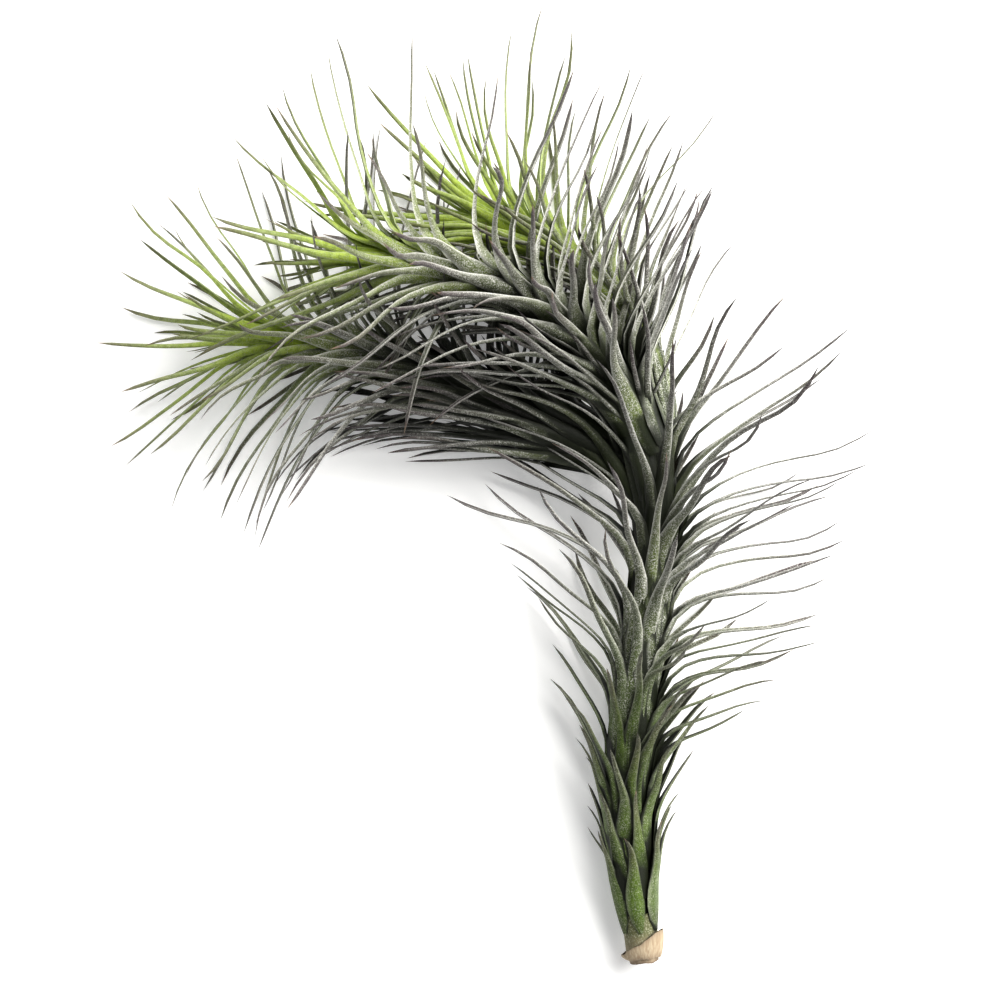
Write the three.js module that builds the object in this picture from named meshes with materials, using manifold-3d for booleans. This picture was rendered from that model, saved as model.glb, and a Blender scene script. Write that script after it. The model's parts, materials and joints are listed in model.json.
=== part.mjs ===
// A caulescent air plant, picked and laid on its side on a flat surface: one woody stem that forks into
// three shoots, dressed from end to end in whorls of tapering leaves, with a dry collar at the cut end.
// Millimetres. X is to the right and Y away from the cut end as seen from above, Z is up, and the surface
// is at Z = 0.
import * as THREE from "three";
import { mergeVertices } from "three/addons/utils/BufferGeometryUtils.js";
import Module from "manifold-3d";

const wasm = await Module();
wasm.setup();

// ---- driving dimensions ----
const WHORL_TWIST = THREE.MathUtils.degToRad(23.5); // from one whorl to the next
const CLEARANCE = 0.3; // between a seated piece and what carries it
const LEAF_GAP = 0.12; // the least room between two leaves

const STEM_SIDES = 10;
const STEM_BASE_RADIUS = 1.7; // at the cut end
const STEM_FORK_RADIUS = 1.3; // where the main stem divides
const STEM_TIP_RADIUS = 0.9; // under each terminal bud
const STEM_STEP = 6; // length of one straight facet of the stem

const COLLAR_START = -1; // the dry collar reaches past the cut end
const COLLAR_END = 5.4;
const COLLAR_RADIUS = 4.2;
const COLLAR_WALL = 1.5;

const RING_HEIGHT = 1.6; // a whorl's joined leaf bases, along the stem
const RING_WALL = 0.62; // from its inner corners to the keels of its leaves
const CUP_SLOPE = 0.27; // how fast a leaf's base leaves the stem, as rise over run
const CUP_HEIGHT = 9; // the stretch over which a leaf clasps the shoot
const LEAF_WIDTH = 3.9; // at its widest, in the clasping stretch
const LEAF_THICKNESS = 0.78; // at its base
const FREE_SECTIONS = 4; // stretches between the clasping stretch and the tip
const TIP_THICKNESS = 0.4; // as a share of the base's
const TOP_SIDE_OPENING = 0.8; // leaves on the upper side lie closer to the shoot
const FLOOR_LIFT = 0.6; // how high a leaf's line lies above the surface
const FLOOR_BEND = 3; // how softly it comes down to it

// How much leaves differ from the shoot's profiles, either way.
const LENGTH_SPREAD = 0.1; // as a share
const OPENING_SPREAD = 7; // degrees
const SWAY_SPREAD = 0.17; // sideways, as rise over run
const GIRTH_SPREAD = 0.07; // as a share

const BUD_LENGTH = 24;
const BUD_RADIUS = 1.3;

const UP = new THREE.Vector3(0, 0, 1);

// Each shoot's route, from where it starts to its growing tip, and how its leaves change along it. A profile
// is a list of [share of the shoot's length, value]. Leaves open by an angle from the shoot, in degrees, on
// the outer and on the inner side of the arch, and their tips curl back along it by the curl's strength.
const SHOOTS = {
  main: {
    route: [
      [28.8, -90.6, 5.0],
      [26.8, -74, 6.6],
      [26.0, -58, 9.0],
      [27.4, -40, 11.8],
      [30.0, -20, 14.0],
      [31.8, -3, 15.0],
      [32.2, 6, 15.2],
    ],
    radii: [STEM_BASE_RADIUS, STEM_FORK_RADIUS],
    first: 7.4,
    last: 87,
    whorls: 15,
    leaves: 6,
    length: [[0, 12], [0.15, 16], [0.28, 25], [0.42, 40], [0.55, 47], [1, 60]],
    outer: [[0, 13], [0.18, 18], [0.3, 46], [0.42, 72], [0.6, 80], [0.9, 79], [1, 70]],
    inner: [[0, 13], [0.2, 17], [0.35, 36], [0.5, 52], [0.6, 60], [0.78, 78], [1, 86]],
    curl: [[0, 0], [0.35, 0.15], [0.6, 0.4], [1, 0.5]],
  },
  front: {
    route: [
      [31.9, 1, 15.2],
      [30.6, 9, 17.8],
      [26.8, 17, 20.6],
      [21.5, 25.5, 23.6],
      [14.5, 33, 26.2],
      [6, 39.4, 28],
      [-4, 44, 29],
      [-14, 46.4, 29],
      [-20.5, 46.8, 28.6],
    ],
    radii: [STEM_FORK_RADIUS, STEM_TIP_RADIUS],
    first: 12,
    last: 72.5,
    whorls: 13,
    leaves: 7,
    length: [[0, 48], [0.5, 51], [0.88, 55], [1, 44]],
    outer: [[0, 48], [0.3, 66], [0.6, 88], [0.88, 80], [1, 46]],
    inner: [[0, 40], [0.3, 52], [0.7, 62], [0.88, 50], [1, 32]],
    curl: [[0, 0.5], [0.7, 0.5], [1, 0.2]],
  },
  low: {
    route: [
      [31.6, -2, 14.8],
      [28.6, 5, 13.2],
      [22, 10, 11.6],
      [13, 13.8, 10.8],
      [3, 18.6, 10.4],
      [-8, 23.6, 10.2],
      [-21, 28, 10],
      [-32, 30.6, 10],
      [-40, 31.6, 10],
    ],
    radii: [STEM_FORK_RADIUS, STEM_TIP_RADIUS],
    first: 12,
    last: 78,
    whorls: 13,
    leaves: 7,
    length: [[0, 42], [0.4, 48], [0.7, 56], [1, 45]],
    outer: [[0, 66], [0.6, 78], [0.85, 66], [1, 34]],
    inner: [[0, 10], [0.3, 18], [0.5, 48], [0.68, 72], [0.88, 62], [1, 36]],
    curl: [[0, 0.4], [0.7, 0.3], [1, 0.1]],
  },
  back: {
    route: [
      [32.1, 4, 15],
      [33.2, 13, 13.2],
      [32.2, 22, 11.6],
      [29, 31, 10.6],
      [23.6, 39.4, 10.2],
      [16.4, 46.4, 10],
      [8.6, 51, 10],
      [3.6, 53, 10],
    ],
    radii: [STEM_FORK_RADIUS, STEM_TIP_RADIUS],
    first: 11,
    last: 57,
    whorls: 11,
    leaves: 7,
    length: [[0, 40], [0.3, 41], [0.6, 49], [0.85, 53], [1, 46]],
    outer: [[0, 42], [0.25, 44], [0.5, 76], [0.85, 78], [1, 44]],
    inner: [[0, 36], [0.4, 46], [0.85, 46], [1, 30]],
    curl: [[0, 0.4], [0.7, 0.45], [1, 0.2]],
  },
};

// ---- colours ----
const STEM_WOOD = { color: 0x7a6244, roughness: 0.85 };
const DRY_COLLAR = { color: 0xc9a877, roughness: 0.8 };
const OLD_LEAF = { color: 0x6c7f57, roughness: 0.7 };
const SILVER_LEAF = { color: 0x9aa294, roughness: 0.7 };
const YOUNG_LEAF = { color: 0x9fb95a, roughness: 0.6 };

const plant = new THREE.Group();

// ---- small helpers ----
// A repeatable stream of numbers from 0 to 1, so that the plant grows the same each time.
function seeded(seed) {
  let state = seed;
  return () => {
    state = (state * 1664525 + 1013904223) % 4294967296;
    return state / 4294967296;
  };
}

// The value of a profile of [share, value] pairs at a share.
function along(profile, share) {
  for (let i = 1; i < profile.length; i++) {
    const [a, from] = profile[i - 1];
    const [b, to] = profile[i];
    if (share <= b) return THREE.MathUtils.mapLinear(Math.max(share, a), a, b, from, to);
  }
  return profile.at(-1)[1];
}

function geometryOf(points, faces) {
  const geometry = new THREE.BufferGeometry();
  geometry.setAttribute("position", new THREE.Float32BufferAttribute(points.flatMap((p) => p.toArray()), 3));
  geometry.setIndex(faces.flat());
  return geometry;
}

function solidOf(points, faces) {
  const vertProperties = new Float32Array(points.flatMap((p) => p.toArray()));
  const triVerts = new Uint32Array(faces.flat());
  return new wasm.Manifold(new wasm.Mesh({ numProp: 3, vertProperties, triVerts }));
}

function solidOfGeometry(geometry) {
  const bare = new THREE.BufferGeometry().setAttribute("position", geometry.attributes.position);
  const { attributes, index } = mergeVertices(bare.setIndex(geometry.index), 1e-3);
  const vertProperties = attributes.position.array;
  const triVerts = new Uint32Array(index.array);
  return new wasm.Manifold(new wasm.Mesh({ numProp: 3, vertProperties, triVerts }));
}

function geometryOfSolid(solid) {
  const mesh = solid.getMesh();
  const geometry = new THREE.BufferGeometry();
  geometry.setAttribute("position", new THREE.BufferAttribute(mesh.vertProperties, 3));
  geometry.setIndex(new THREE.BufferAttribute(mesh.triVerts, 1));
  return geometry;
}

function add(name, geometry, finish) {
  const mesh = new THREE.Mesh(geometry, new THREE.MeshStandardMaterial({ metalness: 0, ...finish }));
  mesh.name = name;
  plant.add(mesh);
}

// ---- shoots ----
// The line that a shoot follows, with a frame at each place: t along it, side to its right, and up.
class Shoot {
  constructor(name, plan) {
    Object.assign(this, plan);
    this.name = name;
    const route = plan.route.map((p) => new THREE.Vector3(...p));
    this.curve = new THREE.CatmullRomCurve3(route, false, "centripetal");
    this.curve.arcLengthDivisions = 400;
    this.reach = this.curve.getLength();
  }

  // The frame at a length along the shoot; past its tip the line runs straight on.
  at(length) {
    const share = THREE.MathUtils.clamp(length / this.reach, 0, 1);
    const t = this.curve.getTangentAt(share);
    const place = this.curve.getPointAt(share).addScaledVector(t, length - share * this.reach);
    const side = new THREE.Vector3().crossVectors(t, UP).normalize();
    return { place, t, side, up: new THREE.Vector3().crossVectors(side, t) };
  }

  radiusAt(length) {
    return THREE.MathUtils.lerp(...this.radii, THREE.MathUtils.clamp(length / this.reach, 0, 1));
  }

  // The bare stem as a closed tube of flat facets.
  tube() {
    const steps = Math.ceil(this.reach / STEM_STEP);
    const points = [];
    const faces = [];
    for (let i = 0; i <= steps; i++) {
      const length = (i / steps) * this.reach;
      const frame = this.at(length);
      for (let k = 0; k < STEM_SIDES; k++) {
        const n = outward(frame, (k / STEM_SIDES) * 2 * Math.PI);
        points.push(frame.place.clone().addScaledVector(n, this.radiusAt(length)));
      }
    }
    for (let i = 0; i < steps; i++) {
      for (let k = 0; k < STEM_SIDES; k++) {
        const a = i * STEM_SIDES + k;
        const b = i * STEM_SIDES + ((k + 1) % STEM_SIDES);
        faces.push([a, b, b + STEM_SIDES], [a, b + STEM_SIDES, a + STEM_SIDES]);
      }
    }
    const last = steps * STEM_SIDES;
    for (let k = 1; k < STEM_SIDES - 1; k++) faces.push([0, k + 1, k], [last, last + k, last + k + 1]);
    return solidOf(points, faces);
  }
}

// The direction away from a shoot at an angle around it: 0 is up and a quarter turn is to its right.
function outward(frame, angle) {
  return frame.up.clone().multiplyScalar(Math.cos(angle)).addScaledVector(frame.side, Math.sin(angle));
}

// ---- whorls ----
// A whorl's place on its shoot, its turn around it, and the radius of its ring's inner corners.
function whorlsOf(shoot) {
  return Array.from({ length: shoot.whorls }, (_, i) => {
    const start = THREE.MathUtils.lerp(shoot.first, shoot.last, i / (shoot.whorls - 1));
    const spread = (2 * Math.PI) / shoot.leaves;
    return {
      name: `${shoot.name}_whorl_${String(i + 1).padStart(2, "0")}`,
      shoot,
      start,
      share: start / shoot.last,
      count: shoot.leaves,
      spread,
      turn: i * WHORL_TWIST,
      radius: (shoot.radiusAt(start - RING_HEIGHT) + CLEARANCE) / Math.cos(spread / 2),
    };
  });
}

// The corners of a whorl's ring at its bottom or its top: the inner ones, where two leaves meet, and then
// the outer ones, which are the leaves' keels.
function ringCorners(whorl, drop) {
  const frame = whorl.shoot.at(whorl.start - drop);
  const inner = [];
  const outer = [];
  for (let j = 0; j < whorl.count; j++) {
    const edge = outward(frame, whorl.turn + (j - 0.5) * whorl.spread);
    const keel = outward(frame, whorl.turn + j * whorl.spread);
    inner.push(frame.place.clone().addScaledVector(edge, whorl.radius));
    outer.push(frame.place.clone().addScaledVector(keel, whorl.radius + RING_WALL));
  }
  return [...inner, ...outer];
}

// The corners of a ring that one of its leaves grows from, by number: left edge, keel and right edge.
function leafBase(whorl, j) {
  return [2 * whorl.count + j, 3 * whorl.count + j, 2 * whorl.count + ((j + 1) % whorl.count)];
}

// The faces of a whorl's ring, whose corners are its bottom ones and then its top ones. Its top is open
// where the leaves grow from it.
function ringFaces({ count }) {
  const [innerBottom, outerBottom, innerTop, outerTop] = [0, 1, 2, 3].map((k) => k * count);
  const faces = [];
  for (let j = 0; j < count; j++) {
    const k = (j + 1) % count;
    faces.push([innerBottom + j, innerBottom + k, outerBottom + j]);
    faces.push([outerBottom + j, innerBottom + k, outerBottom + k]);
    faces.push([outerTop + j, outerTop + k, innerTop + k]);
    faces.push([innerBottom + j, innerTop + j, innerTop + k]);
    faces.push([innerBottom + j, innerTop + k, innerBottom + k]);
    faces.push([outerBottom + j, outerTop + k, outerTop + j]);
    faces.push([outerBottom + j, outerBottom + k, outerTop + k]);
  }
  return faces;
}

// ---- leaves ----
// The width of a leaf at a share of its length, as a share of its widest.
function widthShape(share) {
  const swell = 0.18;
  if (share < swell) return THREE.MathUtils.lerp(0.8, 1, share / swell);
  return Math.pow(1 - (share - swell) / (1 - swell), 1.15) * 0.86 + 0.14;
}

// Keeps a height above a floor, with a smooth turn where a leaf comes down to it.
function rest(height, floor) {
  if (height > floor + FLOOR_BEND) return height;
  if (height < floor - FLOOR_BEND) return floor;
  return floor + (height - floor + FLOOR_BEND) ** 2 / (4 * FLOOR_BEND);
}

// The line of a leaf from its whorl's ring to its tip, as stations with a place, a height along the leaf
// and a vector across its blade. It clasps the shoot first, then arches outward and turns to the light.
function leafLine(whorl, angle, habit) {
  const { shoot, start, radius } = whorl;
  const { cup } = habit;
  const stations = [0, cup / 2, cup].map((height) => {
    const frame = shoot.at(start + height);
    const n = outward(frame, angle);
    const place = frame.place.clone().addScaledVector(n, radius + CUP_SLOPE * height);
    return { place, height, across: new THREE.Vector3().crossVectors(frame.t, n) };
  });
  const { t, ...frame } = shoot.at(start + cup);
  const n = outward(frame, angle);
  const across = new THREE.Vector3().crossVectors(t, n);
  const aside = across.clone();
  const place = stations[2].place.clone();
  const direction = new THREE.Vector3();
  const fine = 6; // steps in each stretch
  const steps = FREE_SECTIONS * fine;
  for (let i = 1; i <= steps; i++) {
    const share = i / steps;
    const turn = THREE.MathUtils.smoothstep(share, -0.3, 0.6);
    const theta = THREE.MathUtils.lerp(Math.atan(CUP_SLOPE), habit.opening, turn);
    direction.copy(t).multiplyScalar(Math.cos(theta)).addScaledVector(n, Math.sin(theta));
    direction.addScaledVector(aside, habit.sway * turn);
    direction.addScaledVector(t, habit.curl * share * share).normalize();
    across.addScaledVector(direction, -across.dot(direction)).normalize();
    place.addScaledVector(direction, (habit.length - cup) / steps);
    if (i % fine === 0) {
      const height = THREE.MathUtils.lerp(cup, habit.length, share);
      stations.push({ place: place.clone(), height, across: across.clone() });
    }
  }
  for (const s of stations.slice(1)) s.place.z = rest(s.place.z, habit.floor);
  return stations;
}

// The corners of a leaf above its ring: a flat triangle of left edge, keel and right edge at each station,
// and the tip.
function leafCorners(whorl, stations, girth) {
  const corners = [];
  for (let i = 1; i < stations.length - 1; i++) {
    const { place, height, across } = stations[i];
    const heading = stations[i + 1].place.clone().sub(stations[i - 1].place).normalize();
    const flat = across.clone().addScaledVector(heading, -across.dot(heading)).normalize();
    const back = new THREE.Vector3().crossVectors(flat, heading);
    const share = height / stations.at(-1).height;
    const room = i > 2 ? Infinity : 2 * (whorl.radius + CUP_SLOPE * height) * Math.tan(whorl.spread * 0.45);
    const width = Math.min(LEAF_WIDTH * girth * widthShape(share), room);
    const thickness = LEAF_THICKNESS * THREE.MathUtils.lerp(1, TIP_THICKNESS, share);
    const three = [
      place.clone().addScaledVector(flat, -width / 2),
      place.clone().addScaledVector(back, thickness),
      place.clone().addScaledVector(flat, width / 2),
    ];
    const under = Math.min(0, ...three.map((p) => p.z));
    three.forEach((p) => (p.z -= under)); // it lies on the surface, not in it
    corners.push(...three);
  }
  return [...corners, stations.at(-1).place];
}

// The faces of a leaf that grows from a base of three corners, where its own corners are numbered on from
// first. It has as many sections as asked, and ends in its tip, or flat where it has none.
function leafFaces(base, first, sections = FREE_SECTIONS + 1, tipped = true) {
  const faces = [];
  let below = base;
  for (let i = 0; i < sections; i++) {
    const here = [0, 1, 2].map((k) => first + 3 * i + k);
    for (let k = 0; k < 3; k++) {
      const l = (k + 1) % 3;
      faces.push([below[k], here[l], here[k]], [below[k], below[l], here[l]]);
    }
    below = here;
  }
  if (!tipped) return [...faces, below];
  const tip = first + 3 * sections;
  for (let k = 0; k < 3; k++) faces.push([below[k], below[(k + 1) % 3], tip]);
  return faces;
}

// ---- room to grow ----
const grown = []; // every solid that a new leaf has to stay clear of, with the whorl or leaf that it is of

function occupy(solid, owner = {}) {
  grown.push({ solid, box: solid.boundingBox(), ...owner });
}

// Two leaves of one whorl meet at its ring, so only their blades are kept apart.
function hasRoom(leaf, solid, blade) {
  const box = solid.boundingBox();
  const near = (other) =>
    [0, 1, 2].every((k) => box.min[k] < other.max[k] + LEAF_GAP && other.min[k] < box.max[k] + LEAF_GAP);
  return !grown.some((g) => {
    if (g.leaf === leaf || !near(g.box)) return false;
    if (g.whorl !== leaf.whorl) return solid.minGap(g.solid, LEAF_GAP) < LEAF_GAP;
    return g.blade ? blade.minGap(g.blade, LEAF_GAP) < LEAF_GAP : false;
  });
}

// What a leaf tries, the least change first, until it has room: to sway aside, to open less or more, to lie
// on the leaves under it, and at last to stay short.
const SHORTEST = 1.4; // as a share of the stretch that clasps the shoot
const TRIES = [];
for (const short of [1, 0.9, 0.8, 0.68, 0.55, 0.42, 0.3])
  for (const sway of [0, 0.12, -0.12, 0.26, -0.26, 0.42, -0.42, 0.6, -0.6])
    for (const open of [1, 0.86, 1.14, 0.7, 1.3, 0.5])
      for (const rise of [0, 1.2, 2.4, 3.6]) {
        const cost = (1 - short) * 9 + Math.abs(sway) * 2.4 + Math.abs(open - 1) * 3 + rise * 0.22;
        TRIES.push({ short, sway, open, rise, cost });
      }
TRIES.sort((a, b) => a.cost - b.cost);

// How a leaf would grow if it had all the room it wants. Its side goes from 0 on the inner side of the arch
// to 1 on the outer.
function naturalHabit({ shoot, share }, angle, random) {
  const vary = (spread) => THREE.MathUtils.lerp(-spread, spread, random());
  const side = THREE.MathUtils.smoothstep(Math.sin(angle), -0.8, 0.7);
  const top = THREE.MathUtils.lerp(1, TOP_SIDE_OPENING, Math.max(0, Math.cos(angle)));
  const opening = THREE.MathUtils.lerp(along(shoot.inner, share), along(shoot.outer, share), side) * top;
  const length = along(shoot.length, share) * (1 + vary(LENGTH_SPREAD));
  return {
    length,
    cup: Math.min(CUP_HEIGHT, length / 2),
    opening: THREE.MathUtils.degToRad(opening + vary(OPENING_SPREAD)),
    sway: vary(SWAY_SPREAD),
    curl: along(shoot.curl, share) * side,
    girth: 1 + vary(GIRTH_SPREAD),
    floor: FLOOR_LIFT,
  };
}

// A leaf by itself is closed across its first three corners. Its blade starts one section above its base,
// and its cup is the part that clasps the shoot, the first two sections.
const closed = (sections, tipped) => [[0, 2, 1], ...leafFaces([0, 1, 2], 3, sections, tipped)];
const WHOLE_LEAF = closed();
const BLADE = closed(FREE_SECTIONS);
const CUP = closed(2, false);
const CUP_BLADE = closed(1, false);
const CUP_CORNERS = 6;

const baseCorners = ({ whorl, base }) => base.map((k) => whorl.corners[k]);

// The stretch that clasps the shoot can't give way, so every leaf's is reserved before any leaf grows.
function reserve(leaf) {
  const corners = leafCorners(leaf.whorl, leafLine(leaf.whorl, leaf.angle, leaf.habit), leaf.habit.girth);
  const cup = corners.slice(0, CUP_CORNERS);
  const solid = solidOf([...baseCorners(leaf), ...cup], CUP);
  const blade = solidOf(cup, CUP_BLADE);
  if (!hasRoom(leaf, solid, blade)) return false;
  occupy(solid, { ...leaf, leaf, blade });
  return true;
}

// The corners of a grown leaf, or nothing where even a short one has no room, as in the fork.
function grow(leaf) {
  const { whorl, angle, habit } = leaf;
  const facesDown = Math.cos(angle) < 0;
  for (const change of TRIES) {
    if (change.rise && !facesDown) continue;
    const tried = {
      ...habit,
      length: Math.max(habit.length * change.short, habit.cup * SHORTEST),
      opening: habit.opening * change.open,
      sway: habit.sway + change.sway,
      floor: habit.floor + change.rise,
    };
    const corners = leafCorners(whorl, leafLine(whorl, angle, tried), habit.girth);
    const solid = solidOf([...baseCorners(leaf), ...corners], WHOLE_LEAF);
    const blade = solidOf(corners, BLADE);
    if (hasRoom(leaf, solid, blade)) {
      occupy(solid, { ...leaf, leaf, blade });
      return corners;
    }
  }
  return null;
}

// ---- the dry collar and the buds ----
// A lathed piece, standing on a place on a shoot and pointing along it.
function latheOn(shoot, start, profile, sides) {
  const geometry = new THREE.LatheGeometry(profile.map((p) => new THREE.Vector2(...p)), sides);
  const { place, t } = shoot.at(start);
  geometry.applyQuaternion(new THREE.Quaternion().setFromUnitVectors(new THREE.Vector3(0, 1, 0), t));
  geometry.translate(...place);
  return geometry;
}

function collar(shoot) {
  const height = COLLAR_END - COLLAR_START;
  const inner = STEM_BASE_RADIUS + CLEARANCE;
  const profile = [
    [inner, 0],
    [COLLAR_RADIUS - 0.5, 0],
    [COLLAR_RADIUS, height * 0.3],
    [inner + COLLAR_WALL, height],
    [inner, height],
    [inner, 0],
  ];
  return latheOn(shoot, COLLAR_START, profile, 16);
}

function bud(shoot) {
  const profile = [
    [0, 0],
    [0.6 * BUD_RADIUS, 0.04 * BUD_LENGTH],
    [BUD_RADIUS, 0.25 * BUD_LENGTH],
    [0.85 * BUD_RADIUS, 0.5 * BUD_LENGTH],
    [0.45 * BUD_RADIUS, 0.78 * BUD_LENGTH],
    [0, BUD_LENGTH],
  ];
  return latheOn(shoot, shoot.reach + CLEARANCE, profile, 8);
}

function leafFinish({ shoot, share }) {
  if (shoot.name === "main") return share < 0.6 ? OLD_LEAF : SILVER_LEAF;
  return share > 0.8 ? YOUNG_LEAF : SILVER_LEAF;
}

// ---- the plant ----
const random = seeded(7);
const shoots = Object.entries(SHOOTS).map(([name, plan]) => new Shoot(name, plan));
const stem = shoots.map((s) => s.tube()).reduce((a, b) => a.add(b));
add("stem", geometryOfSolid(stem), STEM_WOOD);
occupy(stem);

const [main, ...heads] = shoots;
add("dry_collar", collar(main), DRY_COLLAR);
for (const shoot of heads) add(`${shoot.name}_bud`, bud(shoot), YOUNG_LEAF);
for (const piece of plant.children.slice(1)) occupy(solidOfGeometry(piece.geometry));

const whorls = shoots.flatMap(whorlsOf);
const leaves = [];
for (const whorl of whorls) {
  whorl.corners = [...ringCorners(whorl, RING_HEIGHT), ...ringCorners(whorl, 0)];
  whorl.leaves = Array.from({ length: whorl.count }, (_, j) => {
    const angle = whorl.turn + j * whorl.spread;
    const habit = naturalHabit(whorl, angle, random);
    return { whorl, angle, habit, base: leafBase(whorl, j), rank: Math.cos(angle) + 0.6 * random() };
  });
  leaves.push(...whorl.leaves);
  occupy(solidOf(whorl.corners, [...ringFaces(whorl), ...whorl.leaves.map((leaf) => leaf.base)]), { whorl });
}

// The leaves that show most grow first and find the most room.
leaves.sort((a, b) => b.rank - a.rank);
for (const leaf of leaves.filter(reserve)) leaf.corners = grow(leaf);

for (const whorl of whorls) {
  const points = [...whorl.corners];
  const faces = ringFaces(whorl);
  for (const { base, corners } of whorl.leaves) {
    faces.push(...(corners ? leafFaces(base, points.length) : [base]));
    points.push(...(corners ?? []));
  }
  add(whorl.name, geometryOf(points, faces), leafFinish(whorl));
}

// The origin is in the middle of the plant's footprint, on the surface.
const footprint = new THREE.Box3().setFromObject(plant).getCenter(new THREE.Vector3());
plant.position.set(-footprint.x, -footprint.y, 0);
const laid = new THREE.Group();
laid.add(plant);

export default laid;
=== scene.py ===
"""The looks of an air plant that was picked and laid on its side on a pale surface.

Every leaf is one channelled blade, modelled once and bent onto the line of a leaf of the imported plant, so
that the leaves stand where its whorls are. Metres; seen from above, X is to the right and Y away from the cut
end, and Z is up.
"""

import json
import logging
import math
import random
from collections import defaultdict
from dataclasses import dataclass, field, replace
from enum import Enum
from typing import Union

import bpy
import numpy as np
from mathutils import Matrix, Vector
from mathutils.bvhtree import BVHTree

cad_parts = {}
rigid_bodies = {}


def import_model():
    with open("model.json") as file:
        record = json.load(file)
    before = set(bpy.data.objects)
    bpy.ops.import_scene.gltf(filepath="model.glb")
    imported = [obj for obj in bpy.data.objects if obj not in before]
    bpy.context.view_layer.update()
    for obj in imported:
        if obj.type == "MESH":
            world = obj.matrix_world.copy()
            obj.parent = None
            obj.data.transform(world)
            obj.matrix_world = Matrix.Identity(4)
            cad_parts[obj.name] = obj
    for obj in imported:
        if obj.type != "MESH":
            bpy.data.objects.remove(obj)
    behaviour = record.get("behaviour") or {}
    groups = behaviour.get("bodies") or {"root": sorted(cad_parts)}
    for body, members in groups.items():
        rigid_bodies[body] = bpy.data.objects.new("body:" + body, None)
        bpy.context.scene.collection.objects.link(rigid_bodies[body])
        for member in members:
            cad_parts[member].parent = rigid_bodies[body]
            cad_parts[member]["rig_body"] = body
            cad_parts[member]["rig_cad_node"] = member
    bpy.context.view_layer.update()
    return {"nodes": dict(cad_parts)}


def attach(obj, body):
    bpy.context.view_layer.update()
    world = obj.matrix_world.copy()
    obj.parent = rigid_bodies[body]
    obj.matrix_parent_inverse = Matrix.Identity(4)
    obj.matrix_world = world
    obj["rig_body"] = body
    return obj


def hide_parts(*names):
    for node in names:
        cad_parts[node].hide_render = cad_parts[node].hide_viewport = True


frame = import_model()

LOG = logging.getLogger("air_plant")
MM = 0.001
LEAF_MAP = "OFBake"  # the map on which the leaves of a piece lie flat, side by side
STRIP_EDGE = 0.02  # the free edge of a leaf's strip of it, to either side
SURFACE_CLEARANCE = 0.15 * MM  # the least height of a leaf above the surface

Array = np.ndarray
Colour = tuple[float, float, float]
Pairs = tuple[tuple[float, float], ...]
Stop = tuple[float, Colour]
Value = Union["Term", float]
Blanks = tuple[bpy.types.Object, bpy.types.Object]  # the long leaf, and the short, broad one
Route = tuple[Array, Array]  # points of a leaf's line, and the direction of the leaf's back at each

NONE: Pairs = ((0.0, 0.0), (1.0, 0.0))  # nothing of it, all along
ONCE: Pairs = ((0.0, 1.0), (1.0, 1.0))  # just as it is, all along


# ---- small helpers ----
def unit(vectors: Array) -> Array:
    """Scales vectors to length 1.

    Args:
        vectors: One vector, or one in each row.

    Returns:
        The same shape, each vector of length 1.
    """
    return vectors / np.maximum(np.linalg.norm(vectors, axis=-1, keepdims=True), 1e-12)


def smoothstep(x: Array | float, low: float, high: float) -> Array | float:
    """Runs smoothly from 0 at low to 1 at high."""
    t = np.clip((x - low) / (high - low), 0.0, 1.0)
    return t * t * (3 - 2 * t)


def profile(pairs: Pairs, share: float) -> float:
    """The value of a list of (share, value) pairs at a share."""
    return float(np.interp(share, [p[0] for p in pairs], [p[1] for p in pairs]))


def turned(vectors: Array, axis: Array, angle: Array | float) -> Array:
    """Turns vectors about a unit axis.

    Args:
        vectors: One vector in each row.
        axis: The axis, or one in each row.
        angle: The angle in radians, or one for each row.

    Returns:
        The turned vectors.
    """
    c, s = np.cos(angle), np.sin(angle)
    c, s = (np.asarray(a)[..., None] for a in (c, s))
    along = (vectors * axis).sum(-1, keepdims=True)
    return vectors * c + np.cross(axis, vectors) * s + axis * along * (1 - c)


class Spline:
    """A smooth line through points, read at a length along it. Past its ends it runs straight on."""

    FINE = 8  # straight steps between two points
    HEADING_STEP = 1 / 200  # how far to either side a direction is taken, as a share of the line

    def __init__(self, points: Array) -> None:
        """Lays the line.

        Args:
            points: What it runs through, in order.
        """
        padded = np.vstack([2 * points[0] - points[1], points, 2 * points[-1] - points[-2]])
        fine = []
        for i in range(1, len(padded) - 2):
            a, b, c, d = padded[i - 1 : i + 3]
            for t in np.arange(self.FINE) / self.FINE:
                square, cube = 2 * a - 5 * b + 4 * c - d, 3 * b - a - 3 * c + d
                fine.append(0.5 * (2 * b + (c - a) * t + square * t**2 + cube * t**3))
        self.points = np.array([*fine, points[-1]])
        self.lengths = np.r_[0, np.cumsum(np.linalg.norm(np.diff(self.points, axis=0), axis=1))]
        self.reach = float(self.lengths[-1])
        self.knots = self.lengths[:: self.FINE]

    def at(self, length: Array) -> Array:
        """Reads the line.

        Args:
            length: Lengths along it.

        Returns:
            The places there.
        """
        inside = np.clip(length, 0, self.reach)
        place = np.stack([np.interp(inside, self.lengths, self.points[:, k]) for k in range(3)], axis=-1)
        return place + self.heading(length) * np.asarray(length - inside)[..., None]

    def heading(self, length: Array) -> Array:
        """Reads the line's direction.

        Args:
            length: Lengths along it.

        Returns:
            The unit directions there.
        """
        step = self.reach * self.HEADING_STEP
        inside = np.clip(length, step, self.reach - step)
        ends = [
            np.stack([np.interp(inside + d, self.lengths, self.points[:, k]) for k in range(3)], axis=-1)
            for d in (-step, step)
        ]
        return unit(ends[1] - ends[0])


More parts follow.
